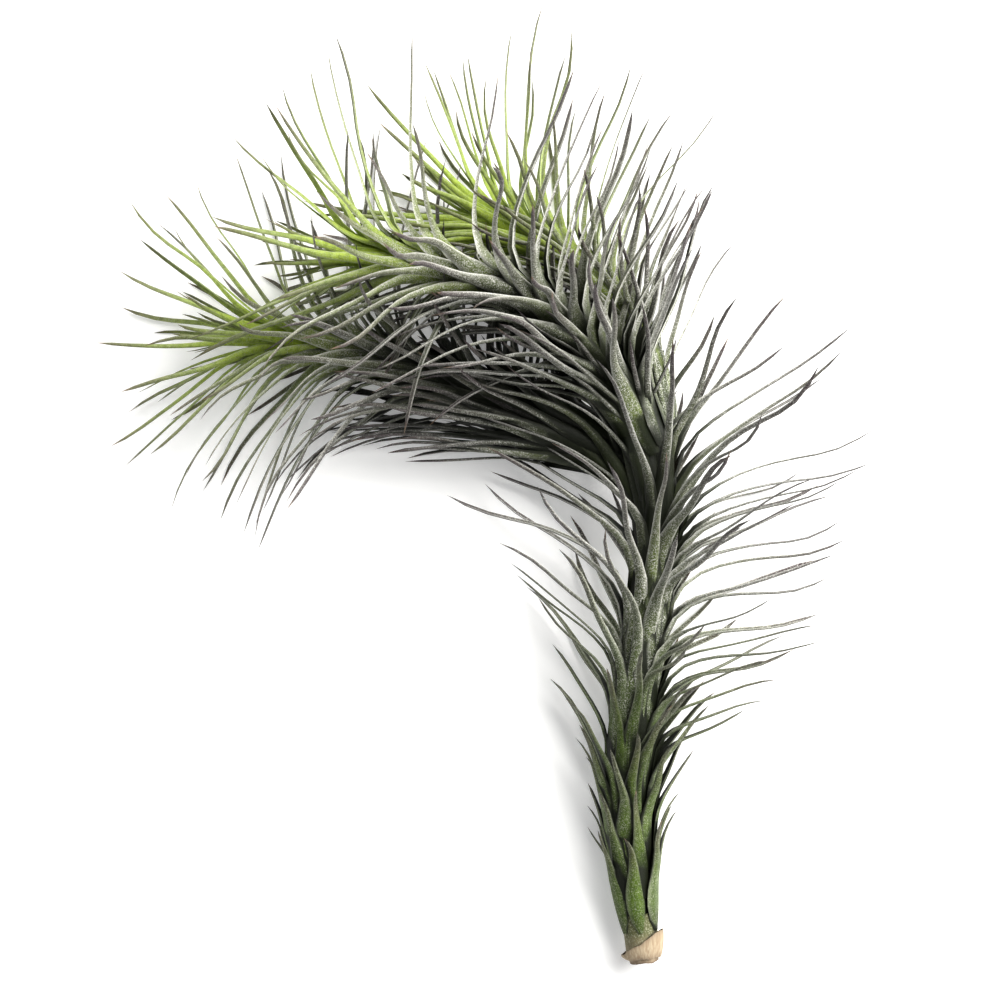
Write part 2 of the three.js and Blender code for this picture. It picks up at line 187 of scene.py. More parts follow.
# ---- shader nodes ----
class Term:
    """A value in a material's nodes. Arithmetic on it adds Math nodes."""

    def __init__(self, shading: "Shading", socket: bpy.types.NodeSocket | None) -> None:
        """Wraps an output socket."""
        self.shading = shading
        self.socket = socket

    def _math(self, operation: str, *values: Value, clamp: bool = False) -> "Term":
        """Adds a Math node for an operation on values."""
        inputs = dict(enumerate(values))
        return self.shading.node("ShaderNodeMath", {"operation": operation, "use_clamp": clamp}, inputs)

    def __add__(self, other: Value) -> "Term":
        """Self + other."""
        return self._math("ADD", self, other)

    def __radd__(self, other: Value) -> "Term":
        """Other + self."""
        return self._math("ADD", other, self)

    def __sub__(self, other: Value) -> "Term":
        """Self - other."""
        return self._math("SUBTRACT", self, other)

    def __rsub__(self, other: Value) -> "Term":
        """Other - self."""
        return self._math("SUBTRACT", other, self)

    def __mul__(self, other: Value) -> "Term":
        """Self * other."""
        return self._math("MULTIPLY", self, other)

    def __rmul__(self, other: Value) -> "Term":
        """Other * self."""
        return self._math("MULTIPLY", other, self)

    def clamped(self) -> "Term":
        """Self, kept from 0 to 1."""
        return self._math("ADD", self, 0.0, clamp=True)

    def ramp(self, low: float, high: float) -> "Term":
        """Runs smoothly from 0 where self is low to 1 where it is high."""
        inputs = {"Value": self, "From Min": low, "From Max": high}
        return self.shading.node("ShaderNodeMapRange", {"interpolation_type": "SMOOTHSTEP"}, inputs)


class Shading:
    """A material under construction, and the one way in which nodes are added to it."""

    def __init__(self, name: str) -> None:
        """Starts an empty material.

        Args:
            name: Its name.
        """
        self.material = bpy.data.materials.new(name)
        self.material.use_nodes = True
        self.tree = self.material.node_tree
        self.tree.nodes.clear()

    def node(self, kind: str, settings: dict, inputs: dict, output: int | str = 0) -> Term:
        """Adds a node.

        Args:
            kind: The node's type.
            settings: Its properties, set before its sockets. "stops" fills a colour ramp.
            inputs: The value or link of each input socket, by name or number.
            output: The output that is used from here on.

        Returns:
            That output.
        """
        made = self.tree.nodes.new(kind)
        for key, value in settings.items():
            if key == "stops":
                self._fill(made.color_ramp, value)
            else:
                setattr(made, key, value)
        for key, value in inputs.items():
            if isinstance(value, Term):
                self.tree.links.new(value.socket, made.inputs[key])
            else:
                socket = made.inputs[key]
                socket.default_value = (*value, 1.0) if socket.type == "RGBA" else value
        return Term(self, made.outputs[output] if len(made.outputs) else None)

    @staticmethod
    def _fill(ramp: bpy.types.ColorRamp, stops: tuple[Stop, ...]) -> None:
        """Sets a ramp's stops.

        Args:
            ramp: The ramp, with its first two stops.
            stops: The place and the colour of each.
        """
        while len(ramp.elements) < len(stops):
            ramp.elements.new(1.0)
        for element, (place, colour) in zip(ramp.elements, stops, strict=True):
            element.position = place
            element.color = (*colour, 1.0)

    def attribute(self, name: str) -> Term:
        """A number that the mesh holds at each of its points."""
        return self.node("ShaderNodeAttribute", {"attribute_name": name}, {}, "Fac")

    def place(self, stretch: Colour = (1.0, 1.0, 1.0)) -> Term:
        """Object coordinates, stretched along the axes."""
        coordinates = self.node("ShaderNodeTexCoord", {}, {}, "Object")
        return self.node("ShaderNodeMapping", {}, {"Vector": coordinates, "Scale": stretch})

    def noise(self, where: Term, size: float, detail: float = 2.0, roughness: float = 0.5) -> Term:
        """Cloudy noise from 0 to 1 whose clouds are of this size, in metres."""
        inputs = {"Vector": where, "Scale": 1 / size, "Detail": detail, "Roughness": roughness}
        return self.node("ShaderNodeTexNoise", {}, inputs)

    def specks(self, where: Term, spacing: float) -> Term:
        """How far the nearest of many scattered points is, as a share of their spacing in metres."""
        return self.node("ShaderNodeTexVoronoi", {}, {"Vector": where, "Scale": 1 / spacing}, "Distance")

    def mix(self, share: Value, first: Term | Colour, second: Term | Colour, blend: str = "MIX") -> Term:
        """A colour between two colours."""
        settings = {"data_type": "RGBA", "blend_type": blend, "clamp_factor": True}
        return self.node("ShaderNodeMix", settings, {0: share, 6: first, 7: second}, 2)

    def gradient(self, share: Value, stops: tuple[Stop, ...]) -> Term:
        """The colour of a list of stops at a share."""
        return self.node("ShaderNodeValToRGB", {"stops": stops}, {"Fac": share})

    def bump(self, height: Term, depth: float, strength: float) -> Term:
        """A normal roughened by a height from 0 to 1 that stands for this depth in metres."""
        inputs = {"Height": height, "Distance": depth, "Strength": strength}
        return self.node("ShaderNodeBump", {}, inputs)

    def finish(self, **sockets: Value | Colour) -> bpy.types.Material:
        """Ends the material in a Principled shader.

        Args:
            sockets: The shader's inputs by name, with _ for a space.

        Returns:
            The material.
        """
        inputs = {key.replace("_", " "): value for key, value in sockets.items()}
        shader = self.node("ShaderNodeBsdfPrincipled", {}, inputs)
        self.node("ShaderNodeOutputMaterial", {}, {"Surface": shader})
        return self.material


# ---- finishes ----
@dataclass(frozen=True)
class LeafFinish:
    """Living leaf under a scurf of fine silver scales, with painted shade where the stored shade is deep.

    The colours are a list of stops from the leaf's base to its tip. Each leaf holds how far it has gone from
    these to the next finish's colours, because the plant changes slowly along its shoots.
    """

    name: str
    stops: tuple[Stop, ...]
    next_stops: tuple[Stop, ...]
    scurf: Colour
    next_scurf: Colour
    scurf_cover: float
    next_scurf_cover: float
    blush_cover: float
    cloud_size: float = 4.5 * MM
    mottle_size: float = 1.1 * MM
    drift_size: float = 1.7 * MM
    scale_size: float = 0.26 * MM
    grain_size: float = 0.30 * MM
    relief: float = 0.10 * MM
    deep: Colour = (0.004, 0.0055, 0.002)  # the colour of painted shade, where no light reaches
    blush: Colour = (0.048, 0.030, 0.036)  # the purple that strong light brings out towards the tips
    next_blush_cover: float = 0.25
    dry_tip: Colour = (0.16, 0.10, 0.055)
    base_bareness: float = 0.35  # how much of the scurf is missing at the base
    depth: tuple[float, float] = (0.50, 0.97)  # the stored shade at which the painted shade starts, and where it is darkest
    next_depth: float = 0.0  # how much deeper in the stored shade the next finish's painted shade starts
    # how dark the painted shade gets
    darkening: float = 0.97
    next_darkening: float = 0.0  # how much less dark the next finish's painted shade is
    tip_bareness: float = 0.75  # how much of the scurf is gone at the tip
    roughness: float = 0.60

    def material(self) -> bpy.types.Material:
        """Builds the material.

        Returns:
            The material.
        """
        s = Shading(self.name)
        along = s.attribute("along")
        across = s.attribute("across")
        chance = s.attribute("chance")
        tone = s.attribute("tone")
        shade = s.attribute("shade")
        gloom = s.attribute("gloom")
        where = s.place()
        cloud = s.noise(where, self.cloud_size, 2.0)
        grain = s.noise(where, self.grain_size, 2.0, 0.6)

        # tissue: colour along the leaf, its veins, and blush and dry tips on some leaves
        seen = (along + (cloud - 0.5) * 0.12).clamped()
        tissue = s.mix(tone, s.gradient(seen, self.stops), s.gradient(seen, self.next_stops))
        on_leaf = s.node("ShaderNodeCombineXYZ", {}, {"X": across * 5.0 + chance * 40.0, "Y": along * 2.5})
        settings, inputs = {"noise_dimensions": "2D"}, {"Vector": on_leaf, "Scale": 1.0, "Detail": 2.0}
        vein = s.node("ShaderNodeTexNoise", settings, inputs)
        tissue = s.mix(vein.ramp(0.35, 0.7) * 0.45, tissue, (0.30, 0.36, 0.22), "MULTIPLY")
        mottle = s.noise(where, self.mottle_size, 3.0, 0.65)
        tissue = s.mix(mottle.ramp(0.42, 0.66) * 0.6, tissue, (0.42, 0.46, 0.32), "MULTIPLY")
        flush = self.blush_cover * (1.0 - tone) + self.next_blush_cover * tone
        blush = along.ramp(0.50, 1.0) * (cloud * 0.4 + 0.2 + chance.ramp(0.0, 0.8) * 0.8) * flush
        tissue = s.mix(blush.clamped(), tissue, self.blush)
        dry = along.ramp(0.93, 0.99) * chance.ramp(0.55, 0.6)
        tissue = s.mix(dry * 0.8, tissue, self.dry_tip)

        # scurf: fine scales in drifts, thickest on the margins, and thinned by painted shade where the stored
        # shade is deep
        scale = 1.0 - s.specks(where, self.scale_size).ramp(0.10, 0.50)
        drift = s.noise(where, self.drift_size, 3.0, 0.6).ramp(0.25, 0.72)
        square = across * across
        margin = square * square
        cover = self.scurf_cover * (1.0 - tone) + self.next_scurf_cover * tone
        # painted shade: the stored shade plus the shoot's added shade, fading halfway towards the tip; where
        # it is deep the scurf is thinned
        total_shade = shade + gloom * (1.0 - along.ramp(0.10, 0.50) * 0.5)
        unshaded = (1.75 - total_shade * 1.45).clamped()
        scurf = scale * (0.15 + 0.75 * drift) + grain.ramp(0.52, 0.66) * (0.3 + 0.5 * drift) + margin * 0.8
        bare_tip = along.ramp(0.45, 1.0) * self.tip_bareness
        bare_base = (1.0 - along.ramp(0.06, 0.3)) * self.base_bareness
        scurf = (scurf * cover * ((1.0 - bare_tip) * (1.0 - bare_base)) * unshaded).clamped()
        colour = s.mix(scurf, tissue, s.mix(tone, self.scurf, self.next_scurf))
        # painted shade: the colour darkens towards the shade colour where the summed shade is deep
        darkness = self.darkening - tone * self.next_darkening
        dark = (total_shade - tone * self.next_depth).ramp(*self.depth)
        colour = s.mix(dark * darkness, colour, self.deep)

        height = scale * 0.6 + grain * 0.4 + vein * 0.9
        return s.finish(
            Base_Color=colour,
            Roughness=self.roughness - 0.10 * along + scurf * 0.2,
            Normal=s.bump(height, self.relief, 0.6),
            Specular_IOR_Level=0.22,
        )


OLD_STOPS = (
    (0.0, (0.042, 0.064, 0.006)),
    (0.10, (0.050, 0.090, 0.004)),
    (0.45, (0.056, 0.094, 0.006)),
    (0.75, (0.066, 0.082, 0.018)),
    (1.0, (0.052, 0.052, 0.030)),
)
SILVER_STOPS = (
    (0.0, (0.014, 0.020, 0.006)),
    (0.10, (0.056, 0.074, 0.020)),
    (0.28, (0.085, 0.100, 0.046)),
    (0.60, (0.104, 0.100, 0.088)),
    (1.0, (0.034, 0.026, 0.030)),
)
YOUNG_STOPS = (
    (0.0, (0.220, 0.330, 0.008)),
    (0.12, (0.370, 0.510, 0.018)),
    (0.38, (0.355, 0.465, 0.046)),
    (0.68, (0.265, 0.335, 0.080)),
    (1.0, (0.120, 0.115, 0.060)),
)
SCURF = (0.61, 0.61, 0.56)
OLD_LEAF = LeafFinish(
    name="old_leaf",
    stops=OLD_STOPS,
    next_stops=SILVER_STOPS,
    scurf=(0.62, 0.66, 0.47),
    next_scurf=(0.64, 0.63, 0.60),
    scurf_cover=0.27,
    next_scurf_cover=1.15,
    blush_cover=0.3,
    next_blush_cover=0.9,
    base_bareness=0.2,
    depth=(0.14, 0.62),
    next_depth=0.28,
    tip_bareness=0.2,
)
SILVER_LEAF = LeafFinish(
    name="silver_leaf",
    stops=SILVER_STOPS,
    next_stops=YOUNG_STOPS,
    scurf=SCURF,
    next_scurf=SCURF,
    scurf_cover=1.1,
    next_scurf_cover=0.18,
    blush_cover=0.6,
    next_darkening=0.92,
)
YOUNG_LEAF = replace(SILVER_LEAF, name="young_leaf", roughness=0.5)


@dataclass(frozen=True)
class BarkFinish:
    """Dry brown bark with fibres along the stem."""

    name: str = "stem_wood"
    pale: Colour = (0.14, 0.09, 0.05)
    dark: Colour = (0.02, 0.012, 0.008)

    def material(self) -> bpy.types.Material:
        """Builds the material.

        Returns:
            The material.
        """
        s = Shading(self.name)
        fibre = s.noise(s.place((1.0, 0.22, 1.0)), 0.5 * MM, 4.0, 0.65)
        patch = s.noise(s.place(), 2.4 * MM, 2.0)
        colour = s.mix(fibre.ramp(0.35, 0.7) * (0.4 + 0.6 * patch), self.dark, self.pale)
        return s.finish(
            Base_Color=colour,
            Roughness=0.78 + patch * 0.15,
            Normal=s.bump(fibre, 0.25 * MM, 0.8),
            Specular_IOR_Level=0.3,
        )


@dataclass(frozen=True)
class SheathFinish:
    """A dried leaf base: papery tan, still olive towards its top, brown where it is torn."""

    name: str = "dry_sheath"
    paper: Colour = (0.29, 0.21, 0.13)
    pale: Colour = (0.43, 0.35, 0.24)
    olive: Colour = (0.070, 0.076, 0.026)
    torn: Colour = (0.045, 0.020, 0.012)
    scurf: Colour = (0.42, 0.42, 0.30)
    deep: Colour = (0.010, 0.009, 0.004)  # painted shade, where the leaves over it keep the light out

    def material(self) -> bpy.types.Material:
        """Builds the material.

        Returns:
            The material.
        """
        s = Shading(self.name)
        fibre = s.noise(s.place((1.0, 0.12, 1.0)), 0.42 * MM, 3.0, 0.6)
        stain = s.noise(s.place(), 1.9 * MM, 3.0, 0.6)
        green = s.attribute("green")
        edge = s.attribute("edge")
        colour = s.mix(fibre.ramp(0.3, 0.75), self.paper, self.pale)
        colour = s.mix((green * (0.65 + stain * 0.6)).clamped(), colour, self.olive)
        grain = s.noise(s.place(), 0.32 * MM, 2.0, 0.6)
        colour = s.mix(grain.ramp(0.5, 0.68) * green.clamped() * 0.5, colour, self.scurf)
        brown = (edge * 0.9 + stain.ramp(0.62, 0.8) * 0.35).clamped()
        colour = s.mix(brown, colour, self.torn)
        # painted shade: darker where the stored shade is deep
        colour = s.mix(s.attribute("shade").ramp(0.30, 0.85) * 0.95, colour, self.deep)
        return s.finish(
            Base_Color=colour,
            Roughness=0.72 + fibre * 0.15,
            Normal=s.bump(fibre * 0.7 + stain * 0.6, 0.16 * MM, 0.7),
            Specular_IOR_Level=0.35,
        )


@dataclass(frozen=True)
class FloorFinish:
    """The pale, even surface that the plant lies on."""

    name: str = "pale_floor"
    colour: Colour = (0.90, 0.90, 0.895)
    glow: float = 0.22  # it is lit from below as well

    def material(self) -> bpy.types.Material:
        """Builds the material.

        Returns:
            The material.
        """
        s = Shading(self.name)
        paper = s.noise(s.place(), 3 * MM, 3.0)
        colour = s.mix(paper, self.colour, tuple(c * 0.985 for c in self.colour))
        return s.finish(
            Base_Color=colour,
            Roughness=0.9,
            Specular_IOR_Level=0.2,
            Emission_Color=(1.0, 1.0, 1.0),
            Emission_Strength=self.glow,
        )


class LeafAge(Enum):
    """The finish of a whorl's leaves, named as in the record's material slots."""

    OLD = OLD_LEAF
    SILVER = SILVER_LEAF
    YOUNG = YOUNG_LEAF


# ---- work in edit mode ----
def deselect_all() -> None:
    """Leaves object mode with nothing selected."""
    if bpy.context.object and bpy.context.object.mode != "OBJECT":
        bpy.ops.object.mode_set(mode="OBJECT")
    bpy.ops.object.select_all(action="DESELECT")


def pick(*objects: bpy.types.Object) -> None:
    """Selects only some objects.

    Args:
        objects: Which ones. The first becomes the active one.
    """
    deselect_all()
    for obj in objects:
        obj.select_set(True)
    bpy.context.view_layer.objects.active = objects[0]


def points_of(obj: bpy.types.Object) -> Array:
    """Reads a mesh.

    Args:
        obj: The mesh's object.

    Returns:
        The places of its vertices, one in each row.
    """
    found = np.empty(len(obj.data.vertices) * 3)
    obj.data.vertices.foreach_get("co", found)
    return found.reshape(-1, 3)


def set_points(obj: bpy.types.Object, points: Array) -> None:
    """Moves a mesh's vertices to these places."""
    obj.data.vertices.foreach_set("co", np.ascontiguousarray(points, np.float32).ravel())
    obj.data.update()


def set_number(obj: bpy.types.Object, name: str, values: Array | float) -> None:
    """Stores a number at each vertex of a mesh, for its material to read.

    Args:
        obj: The mesh's object.
        name: The attribute's name.
        values: One value for each vertex, or one for all.
    """
    held = obj.data.attributes.get(name) or obj.data.attributes.new(name, "FLOAT", "POINT")
    held.data.foreach_set("value", np.broadcast_to(values, len(obj.data.vertices)).astype(np.float32))


def put_in_order(obj: bpy.types.Object) -> None:
    """Lays a mesh's faces again in one fixed order, because extruding can leave them in another on each run.

    Args:
        obj: The mesh's object.
    """
    points = points_of(obj)
    faces = sorted((list(face.vertices) for face in obj.data.polygons), key=sorted)
    obj.data.clear_geometry()
    obj.data.from_pydata(points.tolist(), [], faces)
    obj.data.update()


def joined(name: str, objects: list[bpy.types.Object]) -> bpy.types.Object:
    """Joins objects into one.

    Args:
        name: The name of the one.
        objects: What is joined.

    Returns:
        The one.
    """
    pick(*objects)
    bpy.ops.object.join()
    made = bpy.context.object
    made.name = made.data.name = name
    return made


def hand_over(piece: bpy.types.Object, material: bpy.types.Material, node: str) -> None:
    """Gives a finished piece its material, and its place in the frame.

    Args:
        piece: The piece, at the origin, unturned and unscaled.
        material: What it is made of.
        node: The CAD node that it stands for.
    """
    piece.data.materials.clear()
    piece.data.materials.append(material)
    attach(piece, "root")
    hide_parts(node)
    LOG.info("%s: %d faces", piece.name, len(piece.data.polygons))


# ---- the leaf blank ----
@dataclass
class LeafBlank:
    """One leaf, modelled flat and straight: its root at the origin and its tip along Y.

    An outline is a list of (share of the leaf's length, half its width in mm).
    """

    name: str
    outline: Pairs
    length: float = 50 * MM
    root: float = 2.2 * MM  # how far it reaches below the ring of its whorl
    sides: int = 6
    thickness: float = 0.32 * MM  # half of it, at the base
    stations: tuple[float, ...] = (
        -0.015, 0.08, 0.16, 0.24, 0.31, 0.38, 0.45, 0.52, 0.59, 0.67, 0.75, 0.83, 0.92
    )
    thinning: Pairs = ((0.0, 1.0), (0.5, 0.85), (0.9, 0.66), (1.0, 0.3))
    tip_share: float = 0.999  # what lies past this share is the tip
    map_turn: float = 1.17  # how much of a turn the map is wide, so that its seam's faces fit on it
    map_foot: float = 0.05  # how high on the map the leaf's base is
    map_height: float = 0.94  # how high its length is there
    sharp: float = 62.0  # degrees, over which an edge shows

    def half_width(self, share: float) -> float:
        """Half the leaf's width at a share of its length, in metres."""
        return profile(self.outline, share) * MM

    def half_thickness(self, share: float) -> float:
        """Half the leaf's thickness at a share of its length."""
        return self.thickness * profile(self.thinning, share)

    def model(self) -> bpy.types.Object:
        """Draws the leaf out of a six-sided root, one stretch after another, and closes it in its tip.

        Returns:
            The leaf, flat and straight.
        """
        deselect_all()
        width, thick = self.half_width(-self.root / self.length), self.half_thickness(0.0)
        bpy.ops.mesh.primitive_circle_add(
            vertices=self.sides,
            radius=width,
            fill_type="NGON",
            location=(0, -self.root, 0),
            rotation=(math.pi / 2, math.pi / 2, 0),
        )
        blank = bpy.context.object
        blank.name = self.name
        bpy.ops.object.transform_apply(location=True, rotation=True, scale=True)
        points = points_of(blank)
        if np.ptp(points[:, 1]) > np.ptp(points[:, 0]):
            raise ValueError("the root's section doesn't stand across the leaf")
        bpy.ops.object.mode_set(mode="EDIT")
        bpy.ops.mesh.select_all(action="SELECT")
        here = (0.0, -self.root, 0.0)
        bpy.ops.transform.resize(value=(1, 1, thick / width), center_override=here)
        at = -self.root
        for share in self.stations:
            step = share * self.length - at
            at += step
            bpy.ops.mesh.extrude_region_move(TRANSFORM_OT_translate={"value": (0, step, 0)})
            wide, deep = self.half_width(share), self.half_thickness(share)
            bpy.ops.transform.resize(value=(wide / width, 1, deep / thick), center_override=(0, at, 0))
            width, thick = wide, deep
        bpy.ops.mesh.extrude_region_move(TRANSFORM_OT_translate={"value": (0, self.length - at, 0)})
        bpy.ops.mesh.merge(type="CENTER")
        bpy.ops.mesh.select_all(action="SELECT")
        bpy.ops.mesh.normals_make_consistent(inside=False)
        bpy.ops.object.mode_set(mode="OBJECT")
        put_in_order(blank)
        bpy.ops.object.shade_smooth_by_angle(angle=math.radians(self.sharp))
        self._measure(blank)
        return blank

    def _measure(self, blank: bpy.types.Object) -> None:
        """Stores each point's place on the leaf, and lays the leaf's surface out flat as its map.

        Args:
            blank: The leaf, flat and straight.
        """
        points = points_of(blank)
        share = points[:, 1] / self.length
        half = np.maximum([self.half_width(s) for s in share], 1e-7)
        across = np.clip(points[:, 0] / half, -1, 1)
        set_number(blank, "along", np.clip(share, 0, 1))
        set_number(blank, "across", np.where(share > self.tip_share, 0, across))
        for name in ("chance", "tone", "gloom"):
            set_number(blank, name, 0.0)
        deep = np.array([self.half_thickness(s) for s in share])
        side = np.arctan2(points[:, 2] / deep, across) / (2 * math.pi) % 1.0
        layer = blank.data.uv_layers.new(name=LEAF_MAP)
        for face in blank.data.polygons:
            corners = [blank.data.loops[k].vertex_index for k in face.loop_indices]
            tip = [v for v in corners if share[v] > self.tip_share]
            turn = {v: side[v] for v in corners if v not in tip}
            if len(turn) < self.sides and max(turn.values()) - min(turn.values()) > 0.5:
                turn = {v: t + (t < 0.5) for v, t in turn.items()}
            for v in tip:
                turn[v] = sum(turn.values()) / len(turn)
            for k in face.loop_indices:
                v = blank.data.loops[k].vertex_index
                height = max(share[v] * self.map_height + self.map_foot, 0.0)
                layer.data[k].uv = (min(turn[v], self.map_turn) / self.map_turn, height)


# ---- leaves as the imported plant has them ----
@dataclass
class LeafCage:
    """A leaf of a packed whorl: the middles of its sections from the ring upwards, the directions of their
    keels, and its tip."""

    middles: Array
    keels: Array
    tip: Array


class Tracer:
    """Reads the leaves out of a packed whorl's mesh. Each is a strip of three-cornered sections."""

    SECTIONS = 5  # above the ring, up to the tip

    def __init__(self, node: str) -> None:
        """Merges the doubled points of a CAD node's mesh.

        Args:
            node: The node's name.
        """
        mesh = frame["nodes"][node].data
        places = np.round([v.co[:] for v in mesh.vertices], 7)
        self.points, numbers = np.unique(places, axis=0, return_inverse=True)
        numbers = numbers.reshape(-1)
        self.near: dict[int, set[int]] = defaultdict(set)
        for face in mesh.polygons:
            corners = [int(numbers[v]) for v in face.vertices]
            for v in corners:
                self.near[v] |= set(corners) - {v}

    def _layers(self, tip: int) -> list[list[int]]:
        """Walks down a leaf.

        Args:
            tip: The number of the leaf's tip.

        Returns:
            The points of the three-cornered sections under it, and last the ones on the ring.
        """
        seen, layer = {tip}, self.near[tip]
        layers = []
        for _ in range(self.SECTIONS + 1):
            layers.append(sorted(layer))
            seen |= layer
            layer = set().union(*(self.near[v] for v in layer)) - seen
            if len(layers) == self.SECTIONS:
                ring = {v: len(self.near[v] & set(layers[-1])) for v in layer}
                layer = set(sorted(ring, key=ring.get, reverse=True)[:3])
        return layers

    def read(self) -> tuple[list[LeafCage], Array]:
        """Reads the whorl.

        Returns:
            Its leaves, and the middle of its ring, which is on the line of its shoot.
        """
        found, in_leaves = [], set()
        for tip in sorted(v for v in self.near if len(self.near[v]) == 3):
            layers = self._layers(tip)
            in_leaves |= {tip}.union(*layers[:-1])
            middles, keels = [], []
            for layer in reversed(layers):
                three = self.points[layer]
                pairs = [(1, 2), (2, 0), (0, 1)]
                keel = int(np.argmax([np.linalg.norm(three[a] - three[b]) for a, b in pairs]))
                middle = three[list(pairs[keel])].sum(0) / 2
                middles.append(middle)
                keels.append(unit(three[keel] - middle))
            found.append(LeafCage(np.array(middles), np.array(keels), self.points[tip]))
        return found, self.points[sorted(set(self.near) - in_leaves)].mean(0)


@dataclass
class ShootAxis:
    """The line round which a shoot's leaves stand."""

    centres: Array
    beyond: float = 45 * MM  # how far it is carried on past its ends
    steps: int = 500

    def __post_init__(self) -> None:
        """Lays the line."""
        line = Spline(self.centres)
        lengths = np.linspace(-self.beyond, line.reach + self.beyond, self.steps)
        self.points = line.at(lengths)
        self.headings = line.heading(lengths)

    def foot(self, places: Array) -> tuple[Array, Array]:
        """The nearest points of the line, and the unit directions from them to the places.

        Args:
            places: One place in each row.

        Returns:
            The points, and the directions across the line.
        """
        gaps = np.linalg.norm(places[:, None] - self.points[None], axis=2)
        nearest = gaps.argmin(1)
        feet, heading = self.points[nearest], self.headings[nearest]
        out = places - feet
        along = (out * heading).sum(1, keepdims=True)
        return feet + heading * along, unit(out - heading * along)


@dataclass
class Bend:
    """How a blank is bent onto a leaf's line."""

    line: Spline
    across: Array  # at the line's own points, to the leaf's right
    girth: float
    clasp: float  # half the angle over which the leaf curls round what it clasps, at its base
    channel: float  # the same for its free blade
    tilt: float  # one margin of its base lies over its neighbour's
    crook: tuple[float, float]  # how far the tip leaves the line, across and along its back
    sway: tuple[float, float]  # the same for the bow between
    hollow: float  # how far its middle is drawn in towards the shoot
    twist: float
    root: float = 1.0  # how much longer it is below its ring
    free_from: float = 6 * MM  # where it starts to leave what it clasps
    free_at: float = 16 * MM
    bow_from: float = 0.3  # the share of its length at which the bow starts
    flattest: float = 3.0  # the largest radius that it curls to, in half widths of the blank

    def apply(self, blank_points: Array, length: float) -> Array:
        """Bends a flat leaf.

        Args:
            blank_points: The flat leaf's points, as in LeafBlank.
            length: The flat leaf's length.

        Returns:
            The points of the bent leaf.
        """
        share = blank_points[:, 1] / length
        at = np.where(share < 0, blank_points[:, 1] * self.root, share * self.line.reach)
        place, heading = self.line.at(at), self.line.heading(at)
        knots = self.line.knots
        across = np.stack([np.interp(at, knots, self.across[:, k]) for k in range(3)], axis=-1)
        across = unit(across - heading * (across * heading).sum(-1, keepdims=True))
        free = smoothstep(at, self.free_from, self.free_at)
        across = turned(across, heading, self.tilt * (1 - free) + self.twist * free * share)
        back = np.cross(across, heading)
        inside = np.clip(share, 0, 1)
        crook = inside**2.2
        bowed = np.clip((inside - self.bow_from) / (1 - self.bow_from), 0, 1)
        bow = np.sin(2 * math.pi * bowed) * inside
        place = place + across * (self.crook[0] * crook + self.sway[0] * bow)[:, None]
        drawn = self.hollow * np.sin(math.pi * inside) ** 2
        place = place + back * (self.crook[1] * crook + self.sway[1] * bow - drawn)[:, None]

        half = np.abs(blank_points[:, 0]).max()
        local = np.maximum(self._local_half(share, blank_points[:, 0]) * self.girth, 1e-7)
        curl = self.clasp * (1 - free) + self.channel * free
        radius = np.minimum(local / curl, half * self.flattest)
        angle = blank_points[:, 0] * self.girth / radius
        lift = blank_points[:, 2] * self.girth
        out = (radius + lift) * np.cos(angle) - radius
        aside = (radius + lift) * np.sin(angle)
        return place + across * aside[:, None] + back * out[:, None]

    @staticmethod
    def _local_half(share: Array, x: Array) -> Array:
        """Measures a flat leaf.

        Args:
            share: Where its points are along it.
            x: Where they are across it.

        Returns:
            Half its width at each point.
        """
        keys = np.round(share, 4)
        wide = {k: np.abs(x[keys == k]).max() for k in np.unique(keys)}
        return np.array([wide[k] for k in keys])


def grown(blank: bpy.types.Object, points: Array, chance: float, tone: float) -> bpy.types.Object:
    """A copy of a blank in the shape of one leaf.

    Args:
        blank: The flat leaf.
        points: Where its points go.
        chance: The leaf's own number from 0 to 1.
        tone: How far it is to the next finish.

    Returns:
        The leaf.
    """
    leaf = blank.copy()
    leaf.data = blank.data.copy()
    bpy.context.scene.collection.objects.link(leaf)
    section = np.unique(np.round(points_of(blank)[:, 1], 6), return_inverse=True)[1].reshape(-1)
    lowest = np.full(section.max() + 1, np.inf)
    np.minimum.at(lowest, section, points[:, 2])
    points[:, 2] += np.maximum(SURFACE_CLEARANCE - lowest, 0)[section]
    set_points(leaf, points)
    set_number(leaf, "chance", chance)
    set_number(leaf, "tone", float(np.clip(tone, 0, 1)))
    return leaf


def lay_out(leaf: bpy.types.Object, k: int, count: int) -> None:
    """Gives leaf k of a piece its own strip of the piece's map."""
    for corner in leaf.data.uv_layers[LEAF_MAP].data:
        corner.uv = ((k + STRIP_EDGE + (1 - 2 * STRIP_EDGE) * corner.uv[0]) / count, corner.uv[1])


